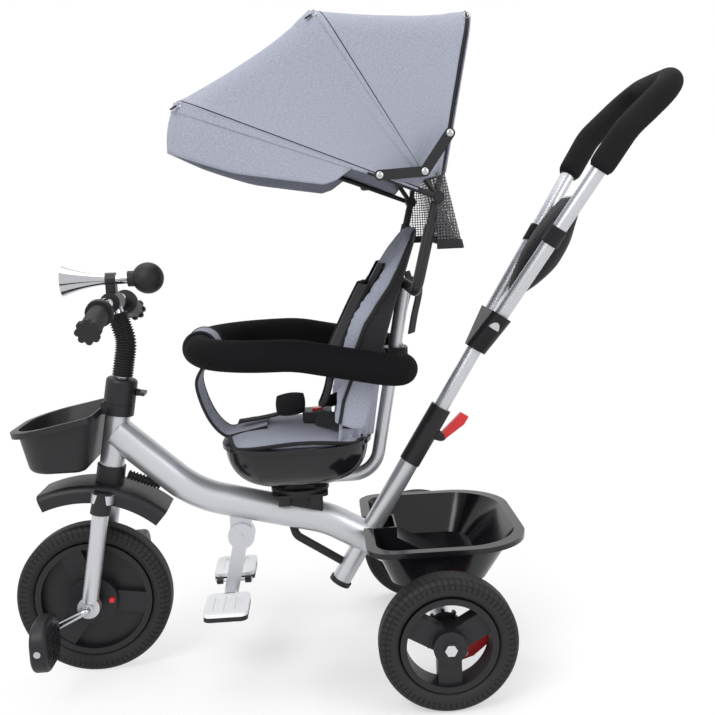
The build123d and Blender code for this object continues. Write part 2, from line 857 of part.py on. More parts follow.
bellows_start = (stem_insert + moving_gap + bellows_groove) / stem_path.wire().length
with BuildPart() as stem_bellows:
    for rib in range(bellows_ribs):
        for level, share in enumerate(rib_profile):
            spot = bellows_start + (bellows_end - bellows_start) * (rib + share) / bellows_ribs
            ring_plane = Plane(
                origin=stem_path.line @ spot, x_dir=(0, 1, 0), z_dir=stem_path.line % spot
            )
            with BuildSketch(ring_plane):
                Circle(bellows_radius - (0 if level in (1, 2) else bellows_groove))
    loft(ruled=True)
    with BuildSketch(Plane(origin=stem_base, z_dir=stem_path.line % 0)):
        Circle(steerer_bore)
    sweep(path=stem_path.line, mode=Mode.SUBTRACT)
save(stem_bellows, "stem_bellows")

# Handlebar with drooping ends, its clamp, two grips and a horn with a squeeze bulb
bar_x = stem_top_x
bar_z = stem_top_z
droop_angle = degrees(atan2(bar_droop, bar_half_length - bar_flat_half))
bar_points = (
    (bar_x, -bar_half_length, bar_z - bar_droop),
    (bar_x, -bar_flat_half, bar_z),
    (bar_x, bar_flat_half, bar_z),
    (bar_x, bar_half_length, bar_z - bar_droop),
)
with BuildPart() as handlebar:
    with BuildLine() as bar_path:
        FilletPolyline(*bar_points, radius=bar_bend)
    with BuildSketch(Plane(origin=bar_points[0], z_dir=bar_path.line % 0)):
        Circle(bar_radius)
    sweep(path=bar_path.line)
    add(stem_tube.part)
save(handlebar, "handlebar")

with BuildPart() as grips:
    for side in sides.values():
        inward = Vector(0, -side * cos(radians(droop_angle)), sin(radians(droop_angle)))
        bar_tip = Vector(bar_x, side * bar_half_length, bar_z - bar_droop)
        grip_plane = Plane(origin=bar_tip - inward * grip_cap, x_dir=(1, 0, 0), z_dir=inward)
        with BuildSketch(grip_plane):
            Circle(grip_radius)
        extrude(amount=grip_length)
        with BuildSketch(grip_plane):
            with PolarLocations(grip_radius - bell_wall, grip_lobe_count):
                Circle(grip_flange_radius - grip_radius)
        extrude(amount=grip_flange_width)
        with BuildSketch(grip_plane.offset(grip_length - grip_flange_width)):
            Circle(grip_flange_radius)
        extrude(amount=grip_flange_width)
        with BuildSketch(grip_plane.offset(grip_cap)):
            Circle(bar_radius)
        extrude(amount=grip_length, mode=Mode.SUBTRACT)
save(grips, "grips")

horn_z = bar_z + horn_lift
horn_mouth_x = bar_x - horn_front
horn_throat_x = horn_mouth_x + horn_length
horn_pipe_end = horn_throat_x + horn_pipe_length
waist_x = horn_mouth_x + horn_length * bell_waist
waist_z = horn_z + horn_throat_radius * bell_flare
with BuildPart() as horn_bell:
    with BuildSketch(Plane.XZ):
        with BuildLine():
            bell_curve = Spline(
                (horn_mouth_x, horn_z + horn_mouth_radius),
                (waist_x, waist_z),
                (horn_throat_x, horn_z + horn_throat_radius),
            )
            Line(bell_curve @ 1, (horn_pipe_end, horn_z + horn_throat_radius))
            Line((horn_pipe_end, horn_z + horn_throat_radius), (horn_pipe_end, horn_z))
            Line((horn_pipe_end, horn_z), (horn_throat_x, horn_z))
            inner_curve = Spline(
                (horn_throat_x, horn_z),
                (waist_x, waist_z - bell_wall),
                (horn_mouth_x, horn_z + horn_mouth_radius - bell_wall),
            )
            Line(inner_curve @ 1, bell_curve @ 0)
        make_face()
    revolve(axis=Axis((horn_mouth_x, 0, horn_z), (1, 0, 0)))
save(horn_bell, "horn_bell")

bulb_x = horn_pipe_end + bulb_reach
with BuildPart() as horn_bulb:
    with Locations((bulb_x, 0, horn_z)):
        Sphere(bulb_radius)
    with BuildSketch(Plane(origin=(horn_pipe_end, 0, horn_z), z_dir=(1, 0, 0))):
        Circle(bulb_neck_radius)
    extrude(amount=bulb_radius)
save(horn_bulb, "horn_bulb")

with BuildPart() as bar_clamp:
    with BuildSketch(side_plane(bar_x, 0, bar_z)):
        Circle(clamp_radius)
    extrude(amount=clamp_width / 2, both=True)
    with BuildSketch(side_plane(bar_x, 0, bar_z)):
        with Locations((0, horn_lift / 2)):
            Rectangle(clamp_radius, horn_lift)
    extrude(amount=clamp_width / 5, both=True)
    with BuildSketch(Plane(origin=(bar_x - clamp_radius / 2, 0, horn_z), z_dir=(1, 0, 0))):
        Circle(horn_throat_radius + 2 * bell_wall)
    extrude(amount=clamp_radius)
    add(handlebar.part, mode=Mode.SUBTRACT)
    add(stem_bellows.part, mode=Mode.SUBTRACT)
    add(horn_bell.part, mode=Mode.SUBTRACT)
    with BuildSketch(Plane(origin=(bar_x - clamp_radius, 0, horn_z), z_dir=(1, 0, 0))):
        Circle(horn_throat_radius)
    extrude(amount=2 * clamp_radius, mode=Mode.SUBTRACT)
save(bar_clamp, "bar_clamp")

# One crank rod is bent to make the axle, both arms and both pedal pins.
pin_end = crank_half_width + wheel_axle_radius + pedal_gap + pedal_length
crank_x, crank_z = polar(180 + crank_angle, crank_radius)
crank_plane = Plane(origin=front_axle.position, x_dir=(0, 1, 0), z_dir=(crank_z, 0, -crank_x))
with BuildPart() as crank:
    with BuildLine(crank_plane) as crank_path:
        FilletPolyline(
            (-pin_end, crank_radius),
            (-crank_half_width, crank_radius),
            (-crank_half_width, 0),
            (crank_half_width, 0),
            (crank_half_width, -crank_radius),
            (pin_end, -crank_radius),
            radius=crank_bend,
        )
    with BuildSketch(Plane(origin=crank_path.line @ 0, z_dir=crank_path.line % 0)):
        Circle(wheel_axle_radius)
    sweep(path=crank_path.line)
save(crank, "crank")

for side_name, side in sides.items():
    pedal_x = front_axle_x - side * crank_x
    pedal_z = front_tyre_radius - side * crank_z
    pedal_y = side * (pin_end - pedal_length / 2)
    with BuildPart() as pedal:
        with BuildSketch(Plane(origin=(pedal_x, pedal_y, pedal_z), x_dir=(0, 1, 0), z_dir=(1, 0, 0))):
            RectangleRounded(pedal_length, pedal_height, pedal_corner)
        extrude(amount=pedal_thickness / 2, both=True)
        flat_faces = pedal.faces().sort_by(Axis.X)
        fillet(flat_faces[0].edges() + flat_faces[-1].edges(), pedal_edge)
        for face in (-1, 1):
            face_x = pedal_x + face * pedal_thickness / 2
            with BuildSketch(Plane(origin=(face_x, pedal_y, pedal_z), z_dir=(face, 0, 0))):
                with Locations((0, 0)):
                    Circle(pedal_stud)
                    Circle(pedal_stud / 2, mode=Mode.SUBTRACT)
                with PolarLocations(pedal_stud_ring, pedal_stud_count):
                    Circle(pedal_stud)
                    Circle(pedal_stud / 2, mode=Mode.SUBTRACT)
            extrude(amount=pedal_stud_height)
        with BuildSketch(side_plane(pedal_x, pedal_y, pedal_z)):
            Circle(wheel_axle_radius + running_gap)
        extrude(amount=pedal_length, both=True, mode=Mode.SUBTRACT)
    save(pedal, f"pedal_{side_name}")

# Seat: a base on the main tube, a turntable on its stud, and a bent tube under the pan
turntable_z = base_z + base_plate + moving_gap
rail_z = turntable_z + turntable_height + seat_tube_radius
with BuildPart() as swivel_base:
    with BuildSketch(Plane.XY.offset(base_z)):
        with Locations((swivel_x, 0)):
            RectangleRounded(2 * base_half, 2 * base_half, base_half / 4)
    extrude(amount=base_plate)
    with BuildSketch(Plane.XY.offset(base_z)):
        with Locations((swivel_x, 0)):
            RectangleRounded(saddle_length, 2 * saddle_half_width, base_plate)
    extrude(amount=spine_z(swivel_x) - base_z)
    with BuildSketch(Plane.XY.offset(base_z)):
        with Locations((swivel_x - base_half + tab_width, 0), (swivel_x + base_half - tab_width, 0)):
            with GridLocations(1, 2 * base_half - tab_width, 1, 2):
                RectangleRounded(tab_width, tab_width / 2, tab_width / 5)
    extrude(amount=-tab_drop)
    with BuildSketch(Plane.XY.offset(base_z)):
        with Locations((swivel_x, 0)):
            Circle(stud_radius)
    extrude(amount=base_plate + turntable_height)
    add(tube_core.part, mode=Mode.SUBTRACT)
save(swivel_base, "swivel_base")

with BuildPart() as turntable:
    with BuildSketch(Plane.XY.offset(turntable_z)):
        with Locations((swivel_x, 0)):
            Circle(turntable_radius)
            Circle(stud_radius + running_gap, mode=Mode.SUBTRACT)
    extrude(amount=turntable_height)
    with BuildSketch(Plane.XY.offset(turntable_z + turntable_height)):
        with Locations((swivel_x, 0)):
            with GridLocations(1, 4 * seat_rail_half + seat_tube_radius, 1, 2):
                Rectangle(turntable_radius, 2 * seat_rail_half)
    extrude(amount=pan_bottom - turntable_z - turntable_height)
save(turntable, "swivel_turntable")

# A bent tube under and behind the seat carries the U tube that holds the canopy.
rise = tan(radians(back_tube_lean))
tube_top_x = back_tube_x + rise * (crossbar_z - rail_z)
crossbar_x = tube_top_x
post_axis = leaning_plane(crossbar_x, crossbar_z, upright - post_lean)
post_frame = Plane(origin=(crossbar_x, 0, crossbar_z), x_dir=(0, 1, 0), z_dir=post_axis.x_dir)
with BuildPart() as lower_posts:
    with BuildLine(post_frame) as post_path:
        FilletPolyline(
            (-post_half, post_height),
            (-post_half, 0),
            (post_half, 0),
            (post_half, post_height),
            radius=post_bend,
        )
    with BuildSketch(Plane(origin=post_path.line @ 0, z_dir=post_path.line % 0)):
        Circle(post_radius)
    sweep(path=post_path.line)
    for side in sides.values():
        with BuildSketch(post_axis.offset(post_height - post_bore_depth)):
            with Locations((0, side * post_half)):
                Circle(upper_post_radius + running_gap)
        extrude(amount=post_bore_depth, mode=Mode.SUBTRACT)
save(lower_posts, "canopy_lower_posts")

with BuildPart() as seat_frame:
    with BuildLine() as seat_path:
        FilletPolyline(
            (swivel_x - turntable_radius, 0, rail_z),
            (back_tube_x, 0, rail_z),
            (tube_top_x, 0, crossbar_z),
            radius=seat_tube_bend,
        )
    with BuildSketch(Plane(origin=seat_path.line @ 0, z_dir=seat_path.line % 0)):
        Circle(seat_tube_radius)
    sweep(path=seat_path.line)
    add(lower_posts.part, mode=Mode.SUBTRACT)
save(seat_frame, "seat_frame")


def seat_outline(z, half_length, half_width, corner):
    """A rounded seat outline about the swivel axis."""
    with BuildSketch(Plane.XY.offset(z)) as outline:
        with Locations((swivel_x, 0)):
            RectangleRounded(2 * half_length, 2 * half_width, corner)
    return outline.sketch


with BuildPart() as seat_pan:
    add(seat_outline(pan_bottom, pan_foot_half, pan_foot_half, pan_corner / 2))
    add(seat_outline(pan_belly_z, pan_belly_half, pan_belly_half, pan_corner * 3 / 4))
    add(seat_outline(pan_rim_z, pan_half_length, pan_half_width, pan_corner))
    loft()
    with BuildSketch(Plane.XY.offset(pan_rim_z - pan_rim_height)):
        with Locations((swivel_x, 0)):
            RectangleRounded(
                2 * (pan_half_length + pan_wall), 2 * (pan_half_width + pan_wall), pan_corner + pan_wall
            )
    extrude(amount=pan_rim_height)
    with BuildSketch(Plane.XY.offset(pan_rim_z - pan_depth)):
        with Locations((swivel_x, 0)):
            RectangleRounded(
                2 * (pan_half_length - 3 * pan_wall),
                2 * (pan_half_width - 3 * pan_wall),
                pan_corner - 2 * pan_wall,
            )
    extrude(amount=pan_depth, mode=Mode.SUBTRACT)
    add(seat_frame.part, mode=Mode.SUBTRACT)
save(seat_pan, "seat_pan")

# Padded seat: a crowned cushion with drawn-in sides and two stitched channels
pad_half_length = pan_half_length - 3 * pan_wall
pad_half_width = pan_half_width - 3 * pan_wall
pad_top = pan_rim_z + seat_pad_height
with BuildPart() as seat_pad:
    with BuildSketch(Plane.XY.offset(pan_rim_z - pan_depth)):
        with Locations((swivel_x, 0)):
            RectangleRounded(2 * pad_half_length, 2 * pad_half_width, pan_corner - 2 * pan_wall)
    extrude(amount=pan_depth + seat_pad_height)
    fillet(seat_pad.faces().sort_by(Axis.Z)[-1].edges(), seat_pad_height * pad_round)
    for share in (-1, 1):
        with BuildSketch(side_plane(swivel_x + share * pad_half_length / 3, 0, pad_top)):
            Circle(channel_radius)
        extrude(amount=pad_half_width, both=True, mode=Mode.SUBTRACT)
save(seat_pad, "seat_pad")

# Padded back with two side wings, drawn on a plane that leans back
back_axis = leaning_plane(back_x, back_bottom, upright - back_lean)
back_face = Plane(origin=back_axis.origin, x_dir=(0, 1, 0), z_dir=back_axis.x_dir)
with BuildPart() as back_pad:
    with BuildSketch(back_face):
        with BuildLine():
            FilletPolyline(
                (-back_half_width, 0),
                (back_half_width, 0),
                (back_half_width, back_shoulder),
                (back_top_half, back_height),
                (-back_top_half, back_height),
                (-back_half_width, back_shoulder),
                radius=back_corner,
                close=True,
            )
        make_face()
    extrude(amount=back_thickness)
    fillet(back_pad.faces().sort_by(Axis(back_face.origin, back_face.z_dir))[0].edges(), back_thickness / 4)
    for side in sides.values():
        with BuildSketch(back_face):
            with Locations((side * (back_half_width - wing_thickness / 2), wing_bottom + wing_height / 2)):
                RectangleRounded(wing_thickness, wing_height, wing_thickness / 3)
        extrude(amount=-wing_reach, taper=wing_taper)
    for level in (1, 2, 3):
        with BuildSketch(Plane(origin=back_face.from_local_coords((0, level * back_height / 5, 0)),
                               x_dir=back_axis.x_dir, z_dir=(0, 1, 0))):
            Circle(channel_radius)
        extrude(amount=back_half_width - 2 * wing_thickness, both=True, mode=Mode.SUBTRACT)
    add(seat_frame.part, mode=Mode.SUBTRACT)
    add(lower_posts.part, mode=Mode.SUBTRACT)
save(back_pad, "back_pad")

# Guard ring: a tube loop round the seat, clamped on the seat tube, with a foam sleeve.
# Its sides fall to the rear from a knee, and its front is level.
side_radii = (ring_rear_bend, ring_knee_bend, ring_front_bend)
ring_radii = side_radii + side_radii[::-1]


def ring_corners(rear_half):
    """Corner points of the guard ring from one end behind the seat to the other."""
    points = [
        Vector(ring_rear_x, -rear_half, ring_rear_z),
        Vector(ring_rear_x, -ring_half_width, ring_rear_z),
        Vector(ring_knee_x, -ring_half_width, ring_front_z),
        Vector(ring_front_x, -ring_half_width, ring_front_z),
    ]
    points += [Vector(point.X, -point.Y, point.Z) for point in reversed(points)]
    return points


with BuildPart() as ring_tube:
    ring_path = bent_path(ring_corners(ring_split / 2), ring_radii)
    with BuildSketch(Plane(origin=ring_path @ 0, z_dir=ring_path % 0)):
        Circle(ring_tube_radius)
        Circle(ring_tube_radius - ring_tube_wall, mode=Mode.SUBTRACT)
    sweep(path=ring_path)
    with BuildSketch(Plane(origin=(ring_rear_x, 0, ring_rear_z - ring_clamp / 2))):
        RectangleRounded(ring_clamp, ring_clamp, ring_clamp / 6)
    extrude(amount=ring_clamp)
    add(seat_frame.part, mode=Mode.SUBTRACT)
save(ring_tube, "guard_ring_tube")

with BuildPart() as ring_foam:
    foam_path = bent_path(ring_corners(ring_foam_end), ring_radii)
    with BuildSketch(Plane(origin=foam_path @ 0, z_dir=foam_path % 0)):
        Circle(ring_foam_radius)
        Circle(ring_tube_radius, mode=Mode.SUBTRACT)
    sweep(path=foam_path)
save(ring_foam, "guard_ring_foam")

# Harness: a cuff round the ring, a strap down to the pan and two shoulder straps on the back
cuff_spot = Vector(ring_front_x, 0, ring_front_z)
with BuildPart() as harness:
    with BuildSketch(side_plane(cuff_spot.X, 0, cuff_spot.Z)):
        Circle(ring_foam_radius + cuff_thickness)
        Circle(ring_foam_radius, mode=Mode.SUBTRACT)
    extrude(amount=cuff_half, both=True)
    strap_top = cuff_spot.Z - ring_foam_radius - cuff_thickness / 2
    with BuildSketch(side_plane(0, 0, 0)):
        with BuildLine():
            FilletPolyline(
                (cuff_spot.X, strap_top),
                (cuff_spot.X - strap_bulge, (strap_top + pan_rim_z) / 2 + strap_bulge),
                (swivel_x - pan_half_length - pan_wall - strap_thickness / 2, pan_rim_z),
                (swivel_x - pan_half_length - pan_wall - strap_thickness / 2, pan_rim_z - pan_rim_height),
                radius=strap_bulge,
            )
        trace(line_width=strap_thickness)
    extrude(amount=strap_width / 2, both=True)
    with BuildSketch(back_face):
        with Locations((-shoulder_half, back_height / 2), (shoulder_half, back_height / 2)):
            Rectangle(web_width, back_height * shoulder_share)
    extrude(amount=-web_thickness)
    with BuildSketch(side_plane(cuff_spot.X, 0, cuff_spot.Z)):
        Circle(ring_foam_radius)
    extrude(amount=strap_width, both=True, mode=Mode.SUBTRACT)
    add(seat_pan.part, mode=Mode.SUBTRACT)
save(harness, "harness_straps")

# Buckle with a sprung release button on the seat pad
with BuildPart() as buckle:
    with BuildSketch(Plane.XY.offset(pad_top)):
        with Locations((buckle_x, 0)):
            RectangleRounded(buckle_length, buckle_width, buckle_height / 3)
    extrude(amount=buckle_height)
    with BuildSketch(Plane.XY.offset(pad_top + buckle_height)):
        with Locations((buckle_x, 0)):
            Rectangle(button_length + 2 * running_gap, button_width + 2 * running_gap)
    extrude(amount=-buckle_height / 2 - button_travel, mode=Mode.SUBTRACT)
save(buckle, "buckle")

with BuildPart() as buckle_button:
    with BuildSketch(Plane.XY.offset(pad_top + buckle_height / 2 + moving_gap)):
        with Locations((buckle_x, 0)):
            Rectangle(button_length, button_width)
    extrude(amount=buckle_height / 2 + button_travel)
save(buckle_button, "buckle_button")

# Canopy: upper posts slide in the lower posts and carry three bows on one pivot axis.
pivot_spot = post_axis.from_local_coords((0, 0, pivot_height))
pivot_x = pivot_spot.X
pivot_z = pivot_spot.Z


def bow_plane(angle):
    """The plane of a bow: its own x along Y and its own y along the bow's legs."""
    return Plane(
        origin=(pivot_x, 0, pivot_z),
        x_dir=(0, 1, 0),
        z_dir=(sin(radians(angle)), 0, -cos(radians(angle))),
    )


def bow_path(half_width, angle, length):
    """The middle line of a U-shaped bow from pivot to pivot."""
    with BuildLine(bow_plane(angle)) as path:
        FilletPolyline(
            (-half_width, 0),
            (-half_width, length),
            (half_width, length),
            (half_width, 0),
            radius=bow_corner,
        )
    return path.line


mid_half = post_half + canopy_pitch
front_half = post_half + 2 * canopy_pitch
rivet_end = front_half + bow_radius + moving_gap
rear_reach_x, rear_reach_z = polar(rear_bow_angle, link_reach)
front_reach_x, front_reach_z = polar(front_bow_angle, link_reach)
rear_link = Vector(pivot_x + rear_reach_x, pivot_z + rear_reach_z)
front_link = Vector(pivot_x + front_reach_x, pivot_z + front_reach_z)
link_middle = (rear_link + front_link) * 0.5
link_span = (rear_link - front_link).length / 2
knee_drop = (Vector(pivot_x, pivot_z) - link_middle).normalized()
knee = link_middle + knee_drop * (link_length**2 - link_span**2) ** 0.5
rear_link_y = front_half + bow_radius + soft_gap + cloth + 2 * moving_gap
front_link_y = rear_link_y + link_thickness + moving_gap

with BuildPart() as canopy_mast:
    with BuildSketch(post_axis.offset(post_height - post_bore_depth + moving_gap)):
        with GridLocations(1, 2 * post_half, 1, 2):
            Circle(upper_post_radius)
    extrude(amount=pivot_height - post_height + post_bore_depth - moving_gap)
    rear_path = bow_path(post_half, rear_bow_angle, rear_bow_length)
    with BuildSketch(Plane(origin=rear_path @ 0, z_dir=rear_path % 0)):
        Circle(bow_radius)
    sweep(path=rear_path)
    for side in sides.values():
        with BuildSketch(side_plane(pivot_x, side * post_half, pivot_z)):
            Circle(pivot_disc)
        extrude(amount=upper_post_radius - moving_gap, both=True)
        with BuildSketch(side_plane(pivot_x, side * post_half, pivot_z)):
            Circle(rivet_radius)
        extrude(amount=-side * (rivet_end - post_half))
        with BuildSketch(side_plane(pivot_x, side * rivet_end, pivot_z)):
            Circle(2 * rivet_radius)
        extrude(amount=-side * rivet_radius / 2)
        with BuildSketch(side_plane(rear_link.X, side * post_half, rear_link.Y)):
            Circle(link_rivet)
        extrude(amount=-side * (rear_link_y + link_thickness - post_half))
save(canopy_mast, "canopy_mast")


def make_bow(half_width, angle, length, name, pin_y):
    """A bow with an eye at each end, and a rivet for the stretcher where it has one."""
    with BuildPart() as bow:
        path = bow_path(half_width, angle, length)
        with BuildSketch(Plane(origin=path @ 0, z_dir=path % 0)):
            Circle(bow_radius)
        sweep(path=path)
        for side in sides.values():
            with BuildSketch(side_plane(pivot_x, side * half_width, pivot_z)):
                Circle(2 * bow_radius)
            extrude(amount=bow_radius - moving_gap, both=True)
            with BuildSketch(side_plane(pivot_x, side * half_width, pivot_z)):
                Circle(rivet_radius + running_gap)
            extrude(amount=2 * bow_radius, both=True, mode=Mode.SUBTRACT)
            if pin_y:
                with BuildSketch(side_plane(front_link.X, side * half_width, front_link.Y)):
                    Circle(link_rivet)
                extrude(amount=-side * (pin_y - half_width))
    save(bow, name)


make_bow(mid_half, mid_bow_angle, mid_bow_length, "canopy_mid_bow", 0)
make_bow(front_half, front_bow_angle, front_bow_length, "canopy_front_bow", front_link_y + link_thickness)


def make_link(start, end, face_y, name):
    """A pair of flat stretcher links, one on each side of the canopy."""
    with BuildPart() as link:
        for side in sides.values():
            with BuildSketch(side_plane(0, side * (face_y + link_thickness / 2), 0)):
                with Locations(((start.X + end.X) / 2, (start.Y + end.Y) / 2)):
                    SlotCenterToCenter(
                        (end - start).length,
                        link_width,
                        rotation=degrees(atan2(end.Y - start.Y, end.X - start.X)),
                    )
                with Locations((start.X, start.Y)):
                    Circle(link_rivet + running_gap, mode=Mode.SUBTRACT)
            extrude(amount=link_thickness / 2, both=True)
    save(link, name)


make_link(rear_link, knee, rear_link_y, "stretcher_rear")
make_link(front_link, knee, front_link_y, "stretcher_front")


def make_panel(first, second, start_reach, name):
    """A cloth panel stretched over two bows. Each bow is (angle, half width, length)."""
    with BuildPart() as panel:
        for angle, half_width, length in (first, second):
            inner = bow_radius + soft_gap
            with BuildSketch(bow_plane(angle)):
                with BuildLine():
                    FilletPolyline(
                        (-half_width - inner - cloth, start_reach),
                        (-half_width - inner - cloth, length + inner + cloth),
                        (half_width + inner + cloth, length + inner + cloth),
                        (half_width + inner + cloth, start_reach),
                        radius=bow_corner + inner + cloth,
                    )
                    Line((half_width + inner + cloth, start_reach), (half_width + inner, start_reach))
                    FilletPolyline(
                        (half_width + inner, start_reach),
                        (half_width + inner, length + inner),
                        (-half_width - inner, length + inner),
                        (-half_width - inner, start_reach),
                        radius=bow_corner + inner,
                    )
                    Line((-half_width - inner, start_reach), (-half_width - inner - cloth, start_reach))
                make_face()
        loft(ruled=True)
        for spot in (rear_link, front_link):
            with BuildSketch(side_plane(spot.X, 0, spot.Y)):
                Circle(link_rivet + soft_gap)
            extrude(amount=2 * front_half, both=True, mode=Mode.SUBTRACT)
    save(panel, name)


make_panel(
    (rear_bow_angle + seam_gap, post_half, rear_bow_length),
    (mid_bow_angle - seam_gap, mid_half, mid_bow_length),
    panel_start,
    "canopy_rear_panel",
)
make_panel(
    (mid_bow_angle + seam_gap, mid_half, mid_bow_length),
    (front_bow_angle - seam_gap, front_half, front_bow_length),
    panel_start,
    "canopy_front_panel",
)
make_panel(
    (front_bow_angle + seam_gap, front_half, front_bow_length),
    (front_bow_angle + visor_angle, front_half, front_bow_length - bow_radius),
    visor_start,
    "canopy_visor",
)

with BuildPart() as back_panel:
    with BuildSketch(bow_plane(rear_bow_angle).offset(bow_radius)) as back_sheet:
        with Locations((0, (rear_bow_length + panel_start) / 2)):
            Rectangle(2 * post_half, rear_bow_length - panel_start)
        fillet(back_sheet.vertices().group_by(Axis.Y)[-1], bow_corner)
    extrude(amount=cloth)
save(back_panel, "canopy_back_panel")

# Net curtain that hangs in folds below the back panel, with a band along its lower edge
net_top = bow_plane(rear_bow_angle).from_local_coords((0, panel_start, bow_radius + cloth / 2))
net_plane = leaning_plane(net_top.X, net_top.Z, net_fall)
fold_step = 2 * post_half / (2 * mesh_fold_count)
with BuildPart() as net_curtain:
    for start, depth, thickness in ((0, mesh_depth, net_sheet), (mesh_depth, net_band, 2 * net_sheet)):
        with BuildSketch(net_plane.offset(start)):
            with BuildLine():
                Polyline(
                    *[
                        (-mesh_fold * (fold % 2), -post_half + fold * fold_step)
                        for fold in range(2 * mesh_fold_count + 1)
                    ]
                )
            trace(line_width=thickness)
        extrude(amount=depth)
    add(canopy_mast.part, mode=Mode.SUBTRACT)
    add(back_panel.part, mode=Mode.SUBTRACT)
save(net_curtain, "net_curtain")

# Push bar: a shaft turns in the frame's socket, and the bar's lower tube slides in the shaft.
push_side = Plane(origin=push.origin, x_dir=push.x_dir, z_dir=(0, -1, 0))
with BuildPart() as push_sleeve:
    with BuildSketch(push.offset(socket_low - moving_gap)):
        Circle(shaft_radius)
    extrude(amount=push_sleeve_length - socket_low + moving_gap)
    with BuildSketch(push.offset(moving_gap)):
        Circle(push_sleeve_radius)
    extrude(amount=push_sleeve_length - moving_gap)
    with BuildSketch(push.offset(socket_low - moving_gap)):
        Circle(arm_disc_radius)
        with Locations((0, arm_disc_radius)):
            Circle(arm_disc_radius / 2)
    extrude(amount=-arm_disc_height)
    with BuildSketch(push_side):
        with BuildLine():
            Polyline(
                (0, release_height - release_lug),
                (release_reach, release_height - release_lug / 2),
                (release_reach + release_lug / 2, release_height),
                (release_reach, release_height + release_lug / 2),
                (0, release_height + release_lug),
                close=True,
            )
        make_face()
    extrude(amount=release_width / 2 + release_cheek, both=True)
    with BuildSketch(push_side):
        with Locations((push_sleeve_radius + release_lug, release_height)):
            Rectangle(2 * release_lug, 4 * release_lug)
    extrude(amount=release_width / 2 + moving_gap, both=True, mode=Mode.SUBTRACT)
    with BuildSketch(push_side):
        with Locations((release_reach, release_height)):
            Circle(release_pin_radius)
    extrude(amount=release_width, both=True)
    with BuildSketch(push.offset(socket_low)):
        Circle(shaft_bore + running_gap)
    extrude(amount=push_sleeve_length - socket_low, mode=Mode.SUBTRACT)
save(push_sleeve, "push_sleeve")

release_tip = Vector(release_reach + release_hook, release_height + release_lever_length)
with BuildPart() as release_lever:
    with BuildSketch(push_side):
        with BuildLine():
            Polyline(
                (release_reach - 2 * release_pin_radius, release_height),
                (release_reach, release_height - 2 * release_pin_radius),
                (release_reach + 2 * release_pin_radius, release_height),
                (release_tip.X + release_hook / 2, release_tip.Y - release_hook),
                (release_tip.X + release_hook / 2, release_tip.Y),
                (release_tip.X - release_hook / 2, release_tip.Y),
                close=True,
            )
        make_face()
        with Locations((release_reach, release_height)):
            Circle(2 * release_pin_radius)
            Circle(release_pin_radius + running_gap, mode=Mode.SUBTRACT)
    extrude(amount=release_width / 2, both=True)
save(release_lever, "release_lever")

coupler_low = push.offset(push_sleeve_length + push_tube_rise)
upper_x, upper_z = coupler_low.origin.X, coupler_low.origin.Z
coupler_x, coupler_z = polar((socket_angle + upper_angle) / 2, coupler_length)
upper = leaning_plane(upper_x + coupler_x, upper_z + coupler_z, upper_angle)


def upper_point(side, along):
    """A point on the middle line of one upper leg, at a distance up its slope."""
    spread = upper_leg_half + (upper_spread - upper_leg_half) * along / upper_leg_length
    return upper.from_local_coords((0, side * spread, along))


top_x, top_z = polar(top_angle, top_length)


def bar_corners(along):
    """Corner points of the push bar's loop, from one leg over the top to the other."""
    points = [upper_point(-1, along), upper_point(-1, upper_leg_length)]
    points.append(points[1] + Vector(top_x, 0, top_z))
    points += [Vector(point.X, -point.Y, point.Z) for point in reversed(points)]
    return points


loop_radii = (bend_radius, corner_radius, corner_radius, bend_radius)
with BuildPart() as push_bar:
    loop_path = bent_path(bar_corners(-coupler_length / 3), loop_radii)
    with BuildSketch(Plane(origin=loop_path @ 0, z_dir=loop_path % 0)):
        Circle(upper_leg_radius)
        Circle(upper_leg_radius - upper_leg_wall, mode=Mode.SUBTRACT)
    sweep(path=loop_path)
    with BuildSketch(push.offset(push_sleeve_length - push_tube_insert)):
        Circle(shaft_bore)
        Circle(shaft_bore - push_tube_wall, mode=Mode.SUBTRACT)
    extrude(amount=push_tube_insert + push_tube_rise + coupler_length / 3)
save(push_bar, "push_bar")

with BuildPart() as push_coupler:
    with BuildSketch(coupler_low):
        RectangleRounded(coupler_thickness, coupler_thickness, coupler_thickness / 3)
    with BuildSketch(upper):
        RectangleRounded(coupler_thickness, 2 * coupler_half_width, coupler_thickness / 3)
    loft()
    add(push_bar.part, mode=Mode.SUBTRACT)
    with BuildSketch(coupler_low):
        Circle(shaft_bore)
    extrude(amount=coupler_length / 3, mode=Mode.SUBTRACT)
save(push_coupler, "push_coupler")

with BuildPart() as push_grip:
    foam_line = bent_path(bar_corners(foam_start), loop_radii)
    with BuildSketch(Plane(origin=foam_line @ 0, z_dir=foam_line % 0)):
        Circle(foam_radius)
        Circle(upper_leg_radius, mode=Mode.SUBTRACT)
    sweep(path=foam_line)
save(push_grip, "push_grip")

